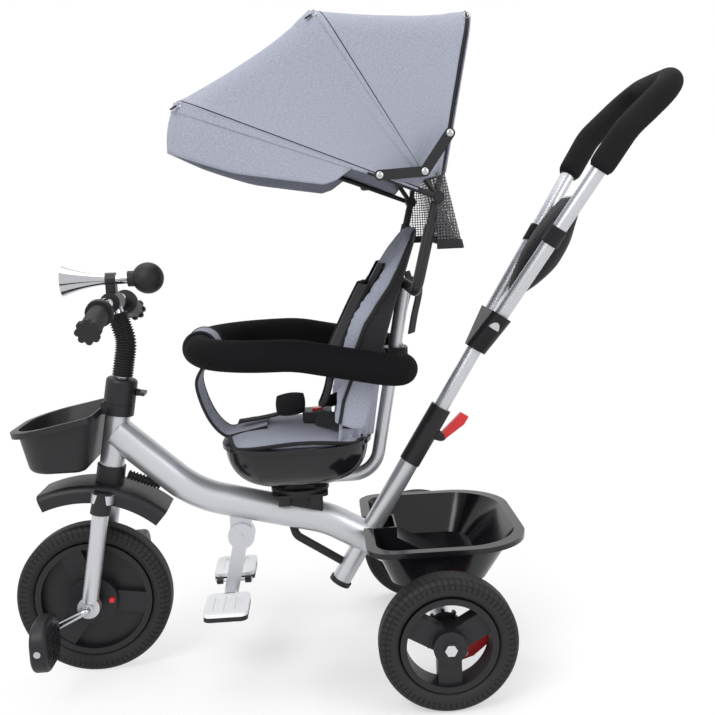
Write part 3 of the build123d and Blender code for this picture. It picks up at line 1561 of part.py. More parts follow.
# Soft bag hung between the legs of the push bar on two straps, thickest in its middle
bag_levels = (
    (0, bag_foot_half, bag_edge_depth),
    (1, bag_middle_half, bag_depth),
    (2, bag_top_half, bag_edge_depth),
)
with BuildPart() as push_bag:
    for level, half, depth in bag_levels:
        with BuildSketch(upper.offset(bag_start + level * bag_length / 2)):
            with Locations((bag_shift, 0)):
                RectangleRounded(depth, 2 * half, bag_edge_depth * 2 / 5)
    loft()
    for side in sides.values():
        strap_spot = upper_point(side, bag_start + bag_length * bag_strap_share)
        strap_plane = Plane(origin=strap_spot, x_dir=upper.x_dir,
                            z_dir=upper_point(side, upper_leg_length) - upper_point(side, 0))
        with BuildSketch(strap_plane.offset(-web_width / 2)):
            Circle(upper_leg_radius + web_thickness)
            with Locations((upper_leg_radius + web_thickness, -side * web_width / 2)):
                Rectangle(4 * web_thickness, web_width)
        extrude(amount=web_width)
        with BuildSketch(strap_plane.offset(-web_width)):
            Circle(upper_leg_radius)
        extrude(amount=2 * web_width, mode=Mode.SUBTRACT)
save(push_bag, "push_bag")

# Footrest: an arm that folds back on a bolt, and two plates that fold up on its ends.
# Each plate has a notch round the hinge block, so that it swings clear of it.
arm_end_x = foot_disc_x - sin(radians(foot_arm_tilt)) * foot_arm_length
arm_end_z = foot_disc_z - cos(radians(foot_arm_tilt)) * foot_arm_length
arm_half = foot_tongue / 2 + moving_gap + foot_cheek
hinge_y = plate_inner + 2 * plate_pin_radius
notch_half = hinge_block + 2 * moving_gap
notch_reach = hypot(plate_pin_radius, hinge_block) + moving_gap
with BuildPart() as foot_arm:
    with BuildSketch(side_plane(0, 0, 0)):
        with Locations((foot_disc_x, foot_disc_z)):
            Circle(foot_disc_radius)
        with Locations(((foot_disc_x + arm_end_x) / 2, (foot_disc_z + arm_end_z) / 2)):
            SlotCenterToCenter(foot_arm_length, foot_arm_width, rotation=upright - foot_arm_tilt)
    extrude(amount=arm_half, both=True)
    with BuildSketch(side_plane(foot_disc_x, 0, foot_disc_z)):
        Circle(foot_disc_radius + 2 * moving_gap)
        with Locations((0, foot_disc_radius)):
            Rectangle(4 * foot_disc_radius, 2 * foot_disc_radius)
    extrude(amount=foot_tongue / 2 + moving_gap, both=True, mode=Mode.SUBTRACT)
    with BuildSketch(side_plane(foot_disc_x, 0, foot_disc_z)):
        Circle(foot_bolt_radius)
    extrude(amount=arm_half + foot_bolt_radius / 2, both=True)
    with BuildSketch(side_plane(arm_end_x, 0, arm_end_z)):
        RectangleRounded(2 * hinge_block, 2 * hinge_block - 1, hinge_block / 3)
    extrude(amount=plate_inner + plate_pin_radius, both=True)
    for side in sides.values():
        with BuildSketch(Plane(origin=(arm_end_x, side * plate_inner, arm_end_z), z_dir=(1, 0, 0))):
            Circle(plate_pin_radius)
        extrude(amount=plate_length / 2 - plate_pin_radius, both=True)
save(foot_arm, "footrest_arm")

for side_name, side in sides.items():
    plate_y = side * (hinge_y + plate_width / 2)
    with BuildPart() as plate:
        with BuildSketch(Plane.XY.offset(arm_end_z - plate_base / 2)):
            with Locations((arm_end_x, plate_y)):
                RectangleRounded(plate_length, plate_width, plate_length / 6)
            with Locations((arm_end_x, side * plate_inner)):
                Rectangle(2 * notch_half, 2 * notch_reach, mode=Mode.SUBTRACT)
        extrude(amount=plate_base)
        for end in (-1, 1):
            knuckle_x = arm_end_x + end * (plate_length / 2 - knuckle_width)
            knuckle_spot = (knuckle_x, side * plate_inner, arm_end_z)
            with BuildSketch(Plane(origin=knuckle_spot, x_dir=(0, 1, 0), z_dir=(1, 0, 0))):
                Circle(2 * plate_pin_radius)
                with Locations((side * hinge_block, 0)):
                    Rectangle(2 * hinge_block, plate_base)
                Circle(plate_pin_radius + running_gap, mode=Mode.SUBTRACT)
            extrude(amount=knuckle_width / 2, both=True)
    save(plate, f"footplate_base_{side_name}")
    with BuildPart() as plate_top:
        with BuildSketch(Plane.XY.offset(arm_end_z + plate_base / 2)):
            with Locations((arm_end_x, plate_y)):
                RectangleRounded(plate_length, plate_width, plate_length / 6)
            with Locations((arm_end_x, side * plate_inner)):
                Rectangle(2 * notch_half, 2 * notch_reach, mode=Mode.SUBTRACT)
        extrude(amount=plate_thickness)
        with BuildSketch(Plane.XY.offset(arm_end_z + plate_base / 2 + plate_thickness)):
            with Locations((arm_end_x, plate_y)):
                with GridLocations(plate_length / 4, 1, 3, 1):
                    SlotOverall(plate_width * slot_share, plate_length / 9, rotation=upright)
        extrude(amount=-plate_thickness / 4, mode=Mode.SUBTRACT)
    save(plate_top, f"footplate_top_{side_name}")

# Rear basket with a tunnel that straddles the main tube and the push bar's socket
tunnel_half = tube_radius + tunnel_gap
tunnel_front = tub_front - tub_wall * 10


def tunnel_profile(extra):
    """Side view of the tunnel, grown by a wall thickness."""
    edge = socket_edge + extra
    clear = tail_half_height + tunnel_gap / 2 + extra
    return (
        (tunnel_front, 0),
        (tunnel_front, 2 * tub_rim_z),
        (edge, 2 * tub_rim_z),
        (edge, tail_z(edge) + clear),
        (tub_rear, tail_z(tub_rear) + clear),
        (tub_rear, 0),
    )


with BuildPart() as tub_space:
    with BuildSketch(Plane.XY.offset(tub_floor_z + tub_wall)):
        tub_outline(
            tub_floor_front + tub_wall, tub_floor_rear - tub_wall, tub_floor_half - tub_wall,
            tub_front_corner - tub_wall, tub_rear_corner / 2 - tub_wall,
        )
    with BuildSketch(Plane.XY.offset(tub_rim_z)):
        tub_outline(
            tub_front + tub_rim_width + tub_wall,
            tub_rear - tub_rim_width - tub_wall,
            tub_half_width - tub_rim_width - tub_wall,
            tub_front_corner - tub_wall,
            tub_rear_corner - tub_wall,
        )
    loft()
    with BuildSketch(side_plane(0, 0, 0)):
        with BuildLine():
            Polyline(*tunnel_profile(tub_wall), close=True)
        make_face()
    extrude(amount=tunnel_half + tub_wall, both=True, mode=Mode.SUBTRACT)

with BuildPart() as rear_basket:
    with BuildSketch(Plane.XY.offset(tub_floor_z)):
        tub_outline(tub_floor_front, tub_floor_rear, tub_floor_half, tub_front_corner, tub_rear_corner / 2)
    with BuildSketch(Plane.XY.offset(tub_rim_z)):
        tub_outline(
            tub_front + tub_rim_width,
            tub_rear - tub_rim_width,
            tub_half_width - tub_rim_width,
            tub_front_corner,
            tub_rear_corner,
        )
    loft()
    with BuildSketch(Plane.XY.offset(tub_rim_z - tub_rim_height)):
        tub_outline(
            tub_front, tub_rear, tub_half_width, tub_front_corner + tub_wall, tub_rear_corner + tub_wall
        )
    extrude(amount=tub_rim_height)
    add(tub_space.part, mode=Mode.SUBTRACT)
    with BuildSketch(side_plane(0, 0, 0)):
        with BuildLine():
            Polyline(*tunnel_profile(0), close=True)
        make_face()
    extrude(amount=tunnel_half, both=True, mode=Mode.SUBTRACT)
save(rear_basket, "rear_basket")

# Hoses of the steering cable: a ribbed one behind the fork and a smooth one under the seat
neck_spot = steer.from_local_coords((fender_neck_radius + front_hose_gap, 0, head_bottom - hose_radius * 2))
front_hose_end = Vector(neck_spot.X + front_hose_reach, 0, neck_spot.Z - front_hose_drop)
front_hose_axis = (front_hose_end - neck_spot).normalized()
rib_step = (front_hose_end - neck_spot).length / front_hose_ribs
hose_start = Vector(rear_hose_x, 0, spine_z(rear_hose_x) - tube_radius / 2)
socket_spot = push.from_local_coords((0, 0, socket_low + rear_hose_rise))
with BuildPart() as cable_hoses:
    for rib in range(front_hose_ribs):
        for level, share in enumerate(rib_profile):
            spot = neck_spot + front_hose_axis * (rib_step * (rib + share))
            with BuildSketch(Plane(origin=spot, x_dir=(0, 1, 0), z_dir=front_hose_axis)):
                Circle(hose_radius + (bellows_groove / 2 if level in (1, 2) else -bellows_groove / 2))
    loft(ruled=True)
    with BuildLine() as hose_path:
        FilletPolyline(
            hose_start,
            (hose_start.X + hose_radius, 0, hose_start.Z - rear_hose_drop),
            socket_spot,
            radius=3 * hose_radius,
        )
    with BuildSketch(Plane(origin=hose_path.line @ 0, z_dir=hose_path.line % 0)):
        Circle(hose_radius)
    sweep(path=hose_path.line)
    add(tube_core.part, mode=Mode.SUBTRACT)
save(cable_hoses, "cable_hoses")
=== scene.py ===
# %% [markdown]
# # A children's tricycle in Blender
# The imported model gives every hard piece. This lesson adds what a solid modeller leaves out:
# the camera and light of the photograph, procedural materials, and the soft goods.

# %% Load the model
import bpy
import json
import math
import numpy as np
from mathutils import Matrix, Vector
from mathutils.bvhtree import BVHTree

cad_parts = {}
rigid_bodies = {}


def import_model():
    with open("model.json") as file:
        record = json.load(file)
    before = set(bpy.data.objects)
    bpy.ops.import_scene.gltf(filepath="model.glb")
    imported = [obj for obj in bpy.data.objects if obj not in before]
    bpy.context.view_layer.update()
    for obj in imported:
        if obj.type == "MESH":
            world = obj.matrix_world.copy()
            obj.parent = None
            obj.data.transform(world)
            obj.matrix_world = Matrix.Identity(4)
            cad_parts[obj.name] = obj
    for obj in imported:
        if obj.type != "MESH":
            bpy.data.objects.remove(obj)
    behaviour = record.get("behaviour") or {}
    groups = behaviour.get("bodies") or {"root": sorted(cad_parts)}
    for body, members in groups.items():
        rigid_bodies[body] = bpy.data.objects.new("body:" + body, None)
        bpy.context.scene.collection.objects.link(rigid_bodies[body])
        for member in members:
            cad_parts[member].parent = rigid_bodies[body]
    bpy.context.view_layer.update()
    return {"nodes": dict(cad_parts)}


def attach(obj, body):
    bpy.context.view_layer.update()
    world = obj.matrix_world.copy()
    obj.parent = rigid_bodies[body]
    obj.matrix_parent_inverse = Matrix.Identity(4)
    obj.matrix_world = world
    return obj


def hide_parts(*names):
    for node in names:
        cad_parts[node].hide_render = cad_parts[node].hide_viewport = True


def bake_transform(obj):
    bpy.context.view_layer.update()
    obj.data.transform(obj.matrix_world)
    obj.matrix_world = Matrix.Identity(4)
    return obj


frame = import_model()
scene = bpy.context.scene

# %% [markdown]
# ## Camera
# The camera stands at the left of the tricycle, a little above the handlebar, and looks slightly down.
# Yaw, pitch and roll are applied as rotations of its right, up and forward directions.

# %% Camera
CAMERA_PLACE = Vector((-0.0485, -1.4688, 0.6982))
yaw, pitch, roll = math.radians(3.79), math.radians(8.38), math.radians(-2.21)
forward = Vector((math.sin(yaw) * math.cos(pitch), math.cos(yaw) * math.cos(pitch), -math.sin(pitch)))
level = Vector((math.cos(yaw), -math.sin(yaw), 0))
upright = level.cross(forward)
right = level * math.cos(roll) + upright * math.sin(roll)
up = upright * math.cos(roll) - level * math.sin(roll)
camera_data = bpy.data.cameras.new("camera")
camera = bpy.data.objects.new("camera", camera_data)
scene.collection.objects.link(camera)
camera.matrix_world = Matrix((right, up, -forward)).transposed().to_4x4()
camera.location = CAMERA_PLACE
camera_data.sensor_width = 36
camera_data.lens = 47.48
camera_data.shift_x = -0.0386
camera_data.clip_end = 50
scene.camera = camera
scene.view_settings.view_transform = "Standard"
print("camera lens", camera_data.lens)

# %% [markdown]
# ## Node helpers
# The world and the materials are small trees of nodes. One helper fills a socket, one adds a node with its
# settings and inputs, one adds a sum of numbers or sockets, and one turns heights into a bumpy surface.

# %% Node helpers


def put(tree, value, socket):
    """Link another node's output to a socket, or set a plain value on it."""
    if isinstance(value, bpy.types.NodeSocket):
        tree.links.new(value, socket)
    else:
        socket.default_value = value


def add_node(tree, kind, inputs=None, **settings):
    node = tree.nodes.new(f"ShaderNode{kind}")
    for name, value in settings.items():
        setattr(node, name, value)
    for name, value in (inputs or {}).items():
        put(tree, value, node.inputs[name])
    return node


def maths(tree, operation, *values):
    return add_node(tree, "Math", dict(enumerate(values)), operation=operation).outputs["Value"]


def bump(tree, height, strength, distance, **inputs):
    sizes = {"Height": height, "Strength": strength, "Distance": distance}
    return add_node(tree, "Bump", {**sizes, **inputs}).outputs["Normal"]


print("node helpers ready")

# %% [markdown]
# ## Floor and light
# The world is white to the eye and in reflections, and softer as a light. Large lamps shape the tubes.
# The floor is pale under the wheels, where it keeps the shadow, and fades to the same white further out.

# %% Floor and light
world = bpy.data.worlds.new("studio")
scene.world = world
world.use_nodes = True
background = world.node_tree.nodes["Background"]
background.inputs["Color"].default_value = (1, 1, 1, 1)


def seen_rays(tree):
    """A mask of 1 for rays from the camera, a reflection or a clear piece."""
    path = add_node(tree, "LightPath")
    value = path.outputs["Is Camera Ray"]
    for kind in ("Is Glossy Ray", "Is Transmission Ray"):
        value = maths(tree, "MAXIMUM", value, path.outputs[kind])
    return value


sky = world.node_tree
sky_level = add_node(sky, "MapRange", {"Value": seen_rays(sky), "To Min": 0.60, "To Max": 1.0})
put(sky, sky_level.outputs["Result"], background.inputs["Strength"])


def add_lamp(name, place, target, size, power):
    data = bpy.data.lights.new(name, "AREA")
    data.shape = "RECTANGLE"
    data.size, data.size_y = size
    data.energy = power
    lamp = bpy.data.objects.new(name, data)
    lamp.location = place
    lamp.rotation_euler = (Vector(target) - Vector(place)).to_track_quat("-Z", "Y").to_euler()
    scene.collection.objects.link(lamp)


add_lamp("key", (-1.6, -2.2, 2.6), (0, 0, 0.4), (1.6, 1.6), 60)
add_lamp("fill", (2.2, -1.8, 1.6), (0, 0, 0.5), (1.2, 2.0), 26)
add_lamp("top", (0, 0.6, 3.0), (0, 0, 0.4), (2.5, 2.5), 45)

floor_mesh = bpy.data.meshes.new("floor")
floor_mesh.from_pydata([(-6, -3, 0), (6, -3, 0), (6, 9, 0), (-6, 9, 0)], [], [(0, 1, 2, 3)])
floor = bpy.data.objects.new("floor", floor_mesh)
floor.location.z = -0.0005
scene.collection.objects.link(floor)
print("lamps", 3)

# %% [markdown]
# ## Shared effects
# Each effect is one shader group that gives a mask or a normal.
# Every material then uses the groups it needs and keeps its own Principled BSDF.

# %% Shader groups


def new_group(name, inputs, outputs):
    group = bpy.data.node_groups.new(name, "ShaderNodeTree")
    for socket, value in inputs.items():
        item = group.interface.new_socket(socket, in_out="INPUT", socket_type="NodeSocketFloat")
        item.default_value = value
    for socket, kind in outputs.items():
        group.interface.new_socket(socket, in_out="OUTPUT", socket_type=f"NodeSocket{kind}")
    return group, group.nodes.new("NodeGroupInput").outputs, group.nodes.new("NodeGroupOutput").inputs


def make_grain_group():
    group, given, result = new_group(
        "fine grain", {"Scale": 900.0, "Depth": 0.2, "Smudge": 3.0}, {"Normal": "Vector", "Mask": "Float"},
    )
    place = add_node(group, "TexCoord").outputs["Object"]
    grain = add_node(group, "TexNoise", {"Vector": place, "Scale": given["Scale"], "Detail": 3})
    patches = add_node(group, "TexNoise", {"Vector": place, "Scale": given["Smudge"], "Detail": 4})
    put(group, bump(group, grain.outputs["Fac"], given["Depth"], 0.0006), result["Normal"])
    put(group, patches.outputs["Fac"], result["Mask"])
    return group


def make_melange_group():
    group, given, result = new_group(
        "melange weave", {"Along": 260.0, "Across": 2200.0, "Depth": 0.25},
        {"Thread": "Float", "Normal": "Vector"},
    )
    place = add_node(group, "TexCoord").outputs["UV"]
    heights = []
    for first, second in (("Along", "Across"), ("Across", "Along")):
        scale = add_node(group, "CombineXYZ", {"X": given[first], "Y": given[second]})
        stretch = add_node(group, "VectorMath", {0: place, 1: scale.outputs["Vector"]}, operation="MULTIPLY")
        threads = add_node(group, "TexNoise", {"Vector": stretch.outputs["Vector"], "Scale": 1, "Detail": 2})
        heights.append(threads.outputs["Fac"])
    thread = maths(group, "MULTIPLY", maths(group, "ADD", *heights), 0.5)
    put(group, thread, result["Thread"])
    put(group, bump(group, thread, given["Depth"], 0.0008), result["Normal"])
    return group


def make_ribs_group():
    group, given, result = new_group("knit ribs", {"Pitch": 0.0022, "Depth": 0.4}, {"Normal": "Vector"})
    place = add_node(group, "TexCoord").outputs["UV"]
    apart = add_node(group, "SeparateXYZ", {"Vector": place})
    waves = []
    for axis in ("X", "Y"):
        turns = maths(group, "DIVIDE", apart.outputs[axis], given["Pitch"])
        waves.append(maths(group, "SINE", maths(group, "MULTIPLY", turns, 2 * math.pi)))
    height = maths(group, "MULTIPLY", *waves)
    put(group, bump(group, height, given["Depth"], 0.0008), result["Normal"])
    return group


grain_group = make_grain_group()
melange_group = make_melange_group()
ribs_group = make_ribs_group()
print("groups", [group.name for group in bpy.data.node_groups])

# %% [markdown]
# ## Hard materials
# Satin silver paint, bright steel, black plastics and rubber each get fine grain and soft smudges.

# %% Hard materials


def new_material(name, looks):
    """A material whose Principled BSDF has the given looks."""
    material = bpy.data.materials.new(name)
    material.use_nodes = True
    tree = material.node_tree
    bsdf = tree.nodes["Principled BSDF"]
    for socket, value in looks.items():
        bsdf.inputs[socket].default_value = value
    return material, tree, bsdf.inputs


def use_group(tree, group, **values):
    return add_node(tree, "Group", values, node_tree=group).outputs


def vary(tree, mask, low, high, target):
    """Spread the middle of a mask between two values."""
    limits = {"From Min": 0.3, "From Max": 0.7, "To Min": low, "To Max": high}
    put(tree, add_node(tree, "MapRange", {"Value": mask, **limits}).outputs["Result"], target)


def hard_material(name, colour, rough, metal=0.0, scale=700.0, depth=0.05, coat=0.0, shine=0.5):
    material, tree, bsdf = new_material(name, {
        "Base Color": (*colour, 1), "Metallic": metal, "Specular IOR Level": shine,
        "Coat Weight": coat, "Coat Roughness": 0.12,
    })
    grain = use_group(tree, grain_group, Scale=scale, Depth=depth, Smudge=4.0)
    vary(tree, grain["Mask"], rough * 0.85, rough * 1.2, bsdf["Roughness"])
    put(tree, grain["Normal"], bsdf["Normal"])
    return material


BLACK, DEEP_BLACK = (0.011, 0.011, 0.013), (0.007, 0.007, 0.009)
silver = hard_material("satin silver paint", (0.55, 0.56, 0.59), 0.34, metal=0.75, scale=1600, coat=0.3)
zinc = hard_material("bright zinc plating", (0.66, 0.67, 0.69), 0.22, metal=1.0)
chrome = hard_material("polished chrome", (0.50, 0.51, 0.53), 0.09, metal=1.0, scale=300, depth=0.01)
black_paint = hard_material("black tube paint", BLACK, 0.34, scale=1500, shine=0.35)
black_plastic = hard_material("satin black plastic", BLACK, 0.42, scale=1100, depth=0.16, shine=0.35)
gloss_black = hard_material("gloss black plastic", DEEP_BLACK, 0.16, scale=300, depth=0.02, shine=0.4)
red_plastic = hard_material("red plastic", (0.62, 0.015, 0.018), 0.28)
white_plastic = hard_material("white plastic", (0.80, 0.81, 0.83), 0.38)
black_rubber = hard_material(
    "soft black rubber", (0.014, 0.014, 0.015), 0.58, scale=800, depth=0.15, shine=0.3,
)
print("hard materials", len(bpy.data.materials))

# %% [markdown]
# The floor is pale matt paint under the tricycle. Further out it fades to plain white, for seen rays only.

# %% Floor material


def floor_material():
    material, tree, bsdf = new_material("pale floor", {
        "Base Color": (0.95, 0.95, 0.95, 1), "Specular IOR Level": 0.0,
    })
    grain = use_group(tree, grain_group, Scale=60.0, Depth=0.02)
    vary(tree, grain["Mask"], 0.88, 0.96, bsdf["Roughness"])
    place = add_node(tree, "TexCoord").outputs["Object"]
    reach = add_node(tree, "VectorMath", {0: place}, operation="LENGTH").outputs["Value"]
    limits = {"From Min": 0.0, "From Max": 0.75, "To Min": 0.35}
    fade = add_node(tree, "MapRange", {"Value": reach, **limits}, interpolation_type="SMOOTHSTEP")
    share = maths(tree, "MULTIPLY", fade.outputs["Result"], seen_rays(tree))
    paint = tree.nodes["Principled BSDF"].outputs["BSDF"]
    white = add_node(tree, "Emission").outputs["Emission"]
    mixed = add_node(tree, "MixShader", {"Fac": share, 1: paint, 2: white})
    put(tree, mixed.outputs["Shader"], tree.nodes["Material Output"].inputs["Surface"])
    return material


floor_mesh.materials.append(floor_material())
print("floor material", floor_mesh.materials[0].name)

# %% [markdown]
# ## Cloth and foam
# Cloth mixes a dark and a pale thread. The guard ring's sleeve is knitted, and the push grip is plain foam.

# %% Cloth and foam materials


def cloth_material(name, dark, pale, depth=0.3, sheen=0.1):
    looks = {"Roughness": 0.92, "Sheen Weight": sheen, "Specular IOR Level": 0.2}
    material, tree, bsdf = new_material(name, looks)
    weave = use_group(tree, melange_group, Depth=depth)
    ramp = add_node(tree, "ValToRGB", {"Fac": weave["Thread"]})
    for element, position, colour in zip(ramp.color_ramp.elements, (0.34, 0.66), (dark, pale)):
        element.position = position
        element.color = (*colour, 1)
    put(tree, ramp.outputs["Color"], bsdf["Base Color"])
    put(tree, weave["Normal"], bsdf["Normal"])
    return material


grey_cloth = cloth_material("grey melange cloth", (0.20, 0.212, 0.268), (0.385, 0.40, 0.475), sheen=0.12)
black_cloth = cloth_material("black cloth", (0.010, 0.010, 0.012), (0.030, 0.030, 0.034))
webbing = cloth_material("black webbing", (0.008, 0.008, 0.010), (0.022, 0.022, 0.025), depth=0.6)
pale_piping = cloth_material("pale piping", (0.50, 0.50, 0.52), (0.66, 0.66, 0.68))


def knit_material(name, colour, pitch):
    material, tree, bsdf = new_material(name, {
        "Base Color": (*colour, 1), "Roughness": 0.8, "Specular IOR Level": 0.08,
    })
    put(tree, use_group(tree, ribs_group, Pitch=pitch, Depth=0.5)["Normal"], bsdf["Normal"])
    return material


knit_foam = knit_material("knitted foam sleeve", (0.006, 0.006, 0.007), 0.0035)
plain_foam = hard_material("closed-cell foam", (0.009, 0.009, 0.010), 0.80, scale=500, depth=0.3, shine=0.12)
print("materials", len(bpy.data.materials))

# %% [markdown]
# ## Tyres and net
# A tyre's tread is drawn around its own axle. The angle about the axle gives the blocks, the side gives the
# grooves, and the distance from the axle gives one ring groove on the shoulder.
# The net's holes are clear cells.

# %% Tyre and net materials


def tyre_material(name, axle, half_width, blocks):
    material, tree, bsdf = new_material(name, {"Roughness": 0.62, "Specular IOR Level": 0.3})

    def step_up(value, level):
        return maths(tree, "GREATER_THAN", value, level)

    def wave(value, turns):
        return maths(tree, "SINE", maths(tree, "MULTIPLY", value, turns))

    place = add_node(tree, "TexCoord").outputs["Object"]
    centred = add_node(tree, "VectorMath", {0: place, 1: axle}, operation="SUBTRACT").outputs["Vector"]
    x, y, z = add_node(tree, "SeparateXYZ", {"Vector": centred}).outputs
    side = maths(tree, "ABSOLUTE", y)
    slanted = maths(tree, "ADD", maths(tree, "ARCTAN2", z, x), maths(tree, "MULTIPLY", side, 4.0))
    raised = step_up(wave(slanted, blocks), -0.35)
    between = step_up(wave(side, 2 * math.pi / (half_width / 2.5)), -0.75)
    squares = maths(tree, "ADD", maths(tree, "POWER", x, 2.0), maths(tree, "POWER", z, 2.0))
    radius = maths(tree, "SQRT", squares)
    tread_zone = step_up(radius, axle[2] - 0.0165)
    off_ring = step_up(maths(tree, "ABSOLUTE", maths(tree, "SUBTRACT", radius, axle[2] - 0.0085)), 0.0009)
    pattern = maths(tree, "MULTIPLY", maths(tree, "MULTIPLY", raised, between), off_ring)
    plain = maths(tree, "SUBTRACT", 1.0, tread_zone)
    height = maths(tree, "ADD", maths(tree, "MULTIPLY", pattern, tread_zone), plain)
    # The grooves and the ring groove are coloured darker than the blocks and the sidewall: painted shade in
    # the recesses.
    groove_shade_tones = {"A": (0.004, 0.004, 0.004, 1), "B": (0.015, 0.015, 0.015, 1)}
    groove_shaded_colour = add_node(tree, "Mix", {"Factor": height, **groove_shade_tones}, data_type="RGBA")
    put(tree, groove_shaded_colour.outputs["Result"], bsdf["Base Color"])
    grain = use_group(tree, grain_group, Scale=700.0, Depth=0.15)
    put(tree, bump(tree, height, 1.0, 0.004, Normal=grain["Normal"]), bsdf["Normal"])
    return material


def net_material(name, cell):
    material, tree, bsdf = new_material(name, {"Base Color": (0.05, 0.05, 0.055, 1), "Roughness": 0.6})
    place = add_node(tree, "TexCoord").outputs["UV"]
    mesh_cells = {"Vector": place, "Scale": 1 / cell, "Randomness": 0.15}
    cells = add_node(tree, "TexVoronoi", mesh_cells, feature="DISTANCE_TO_EDGE")
    put(tree, maths(tree, "LESS_THAN", cells.outputs["Distance"], 0.16), bsdf["Alpha"])
    put(tree, use_group(tree, grain_group, Scale=900.0, Depth=0.2)["Normal"], bsdf["Normal"])
    return material


FRONT_AXLE = (-0.4284, 0.0, 0.1205)
front_tread = tyre_material("front tyre", FRONT_AXLE, 0.0225, 80)
rear_treads = {
    side: tyre_material(f"rear tyre {side}", (0.1096, offset, 0.100), 0.022, 68)
    for side, offset in (("left", -0.207), ("right", 0.207))
}
net = net_material("black net", 0.0042)
print("tyre and net materials ready")

# %% [markdown]
# ## Finish of the hard pieces
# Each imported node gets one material. Soft nodes are left out here, because soft forms will stand for them.

# %% Assign materials
FINISHES = {
    silver: ["main_frame", "fork", "seat_frame", "push_bar", "footrest_arm"],
    zinc: ["rear_axle"],
    black_paint: [
        "canopy_lower_posts", "canopy_mast", "canopy_mid_bow", "canopy_front_bow", "guard_ring_tube",
    ],
    chrome: ["horn_bell", "handlebar", "crank"],
    front_tread: ["front_tyre"],
    rear_treads["left"]: ["rear_tyre_left"],
    rear_treads["right"]: ["rear_tyre_right"],
    black_plastic: [
        "front_rim", "rear_rim_left", "rear_rim_right", "front_fender", "front_basket", "stem_sleeve",
        "wing_bolt", "pedal_left", "pedal_right", "swivel_base", "swivel_turntable", "push_sleeve",
        "push_coupler", "footplate_base_left", "footplate_base_right", "stretcher_rear", "stretcher_front",
        "buckle", "bar_clamp",
    ],
    gloss_black: ["rear_basket", "seat_pan"],
    red_plastic: ["clutch_knob", "brake_lever_left", "brake_lever_right", "buckle_button", "release_lever"],
    white_plastic: ["footplate_top_left", "footplate_top_right"],
    black_rubber: ["stem_bellows", "grips", "horn_bulb", "cable_hoses"],
}
for material, names in FINISHES.items():
    for name in names:
        node = frame["nodes"][name]
        node.data.materials.clear()
        node.data.materials.append(material)
print("finished nodes", sum(len(names) for names in FINISHES.values()))

# %% [markdown]
# ## Sheets and tubes
# Sheets are grids of points. Tubes and ribbons follow a line. All carry a map in metres for the weave.

# %% Sheets and tubes
SIDES = (("left", -1), ("right", 1))


def mesh_object(name, points, faces, maps, material):
    mesh = bpy.data.meshes.new(name)
    mesh.from_pydata([tuple(point) for point in points], [], faces)
    layer = mesh.uv_layers.new(name="map")
    for polygon in mesh.polygons:
        polygon.use_smooth = True
        for loop in polygon.loop_indices:
            layer.data[loop].uv = maps[mesh.loops[loop].vertex_index]
    mesh.materials.append(material)
    thing = bpy.data.objects.new(name, mesh)
    scene.collection.objects.link(thing)
    return thing


def running(steps):
    return np.concatenate([[0], np.cumsum(steps)])


def grid_map(rows):
    """The distance of each point along the rows and across them."""
    count, length = rows.shape[:2]
    along = running(np.linalg.norm(np.diff(rows, axis=1), axis=2).mean(axis=0))
    across = running(np.linalg.norm(np.diff(rows, axis=0), axis=2).mean(axis=1))
    return [(along[j], across[i]) for i in range(count) for j in range(length)]


def grid_sheet(name, rows, material, around=False, ends=False):
    """A sheet from rows of points. Its rows may close around, and its ends may be filled."""
    rows = np.array(rows, float)
    count, length = rows.shape[:2]
    faces = []
    for i in range(count - 1):
        for j in range(length - (0 if around else 1)):
            k = (j + 1) % length
            faces.append((i * length + j, i * length + k, (i + 1) * length + k, (i + 1) * length + j))
    if ends:
        faces.append(tuple(range(length))[::-1])
        faces.append(tuple(range((count - 1) * length, count * length)))
    return mesh_object(name, rows.reshape(-1, 3), faces, grid_map(rows), material)


def bake(thing):
    """Keep what the modifiers give as a plain mesh."""
    shaped = thing.evaluated_get(bpy.context.evaluated_depsgraph_get())
    mesh = bpy.data.meshes.new_from_object(shaped)
    thing.modifiers.clear()
    thing.data = mesh
    return thing


def thicken(thing, thickness):
    solid = thing.modifiers.new("thickness", "SOLIDIFY")
    solid.thickness = thickness
    solid.offset = 0
    return bake(thing)


def tube(name, points, radius, material, sides=8, closed=False):
    """A round tube along points. Its side vectors are carried along so that it doesn't twist."""
    points = np.array(points, float)
    tangents = np.gradient(points, axis=0)
    if closed:
        tangents = np.roll(points, -1, axis=0) - np.roll(points, 1, axis=0)
    tangents /= np.linalg.norm(tangents, axis=1)[:, None]
    guide = np.cross(tangents[0], (0, 0, 1))
    if np.linalg.norm(guide) < 0.1:
        guide = np.cross(tangents[0], (0, 1, 0))
    turn = np.linspace(0, 2 * math.pi, sides, endpoint=False)[:, None]
    radii = np.broadcast_to(np.array(radius, float), (len(points),))
    rows = []
    for point, tangent, size in zip(points, tangents, radii):
        guide = guide - tangent * np.dot(guide, tangent)
        guide /= np.linalg.norm(guide)
        rows.append(point + size * (np.cos(turn) * guide + np.sin(turn) * np.cross(tangent, guide)))
    if closed:
        rows.append(rows[0])
    return grid_sheet(name, rows, material, around=True, ends=not closed)


def ribbon(name, points, width, thickness, across, material):
    """A flat strap along points. across is the direction of its width."""
    points, across = np.array(points, float), np.array(across, float)
    rows = [points + across * width * share for share in np.linspace(-0.5, 0.5, 7)]
    return thicken(grid_sheet(name, rows, material), thickness)


print("sheets and tubes ready")

# %% [markdown]
# Lines are smooth curves or rounded corners, cut into even steps.

# %% Lines


def even_points(line, count=None, step=None):
    """The same line as even points, by their count or their step."""
    line = np.array(line)
    reach = running(np.linalg.norm(np.diff(line, axis=0), axis=1))
    even = np.linspace(0, reach[-1], count or int(reach[-1] / step))
    return np.stack([np.interp(even, reach, line[:, axis]) for axis in range(3)], axis=1)


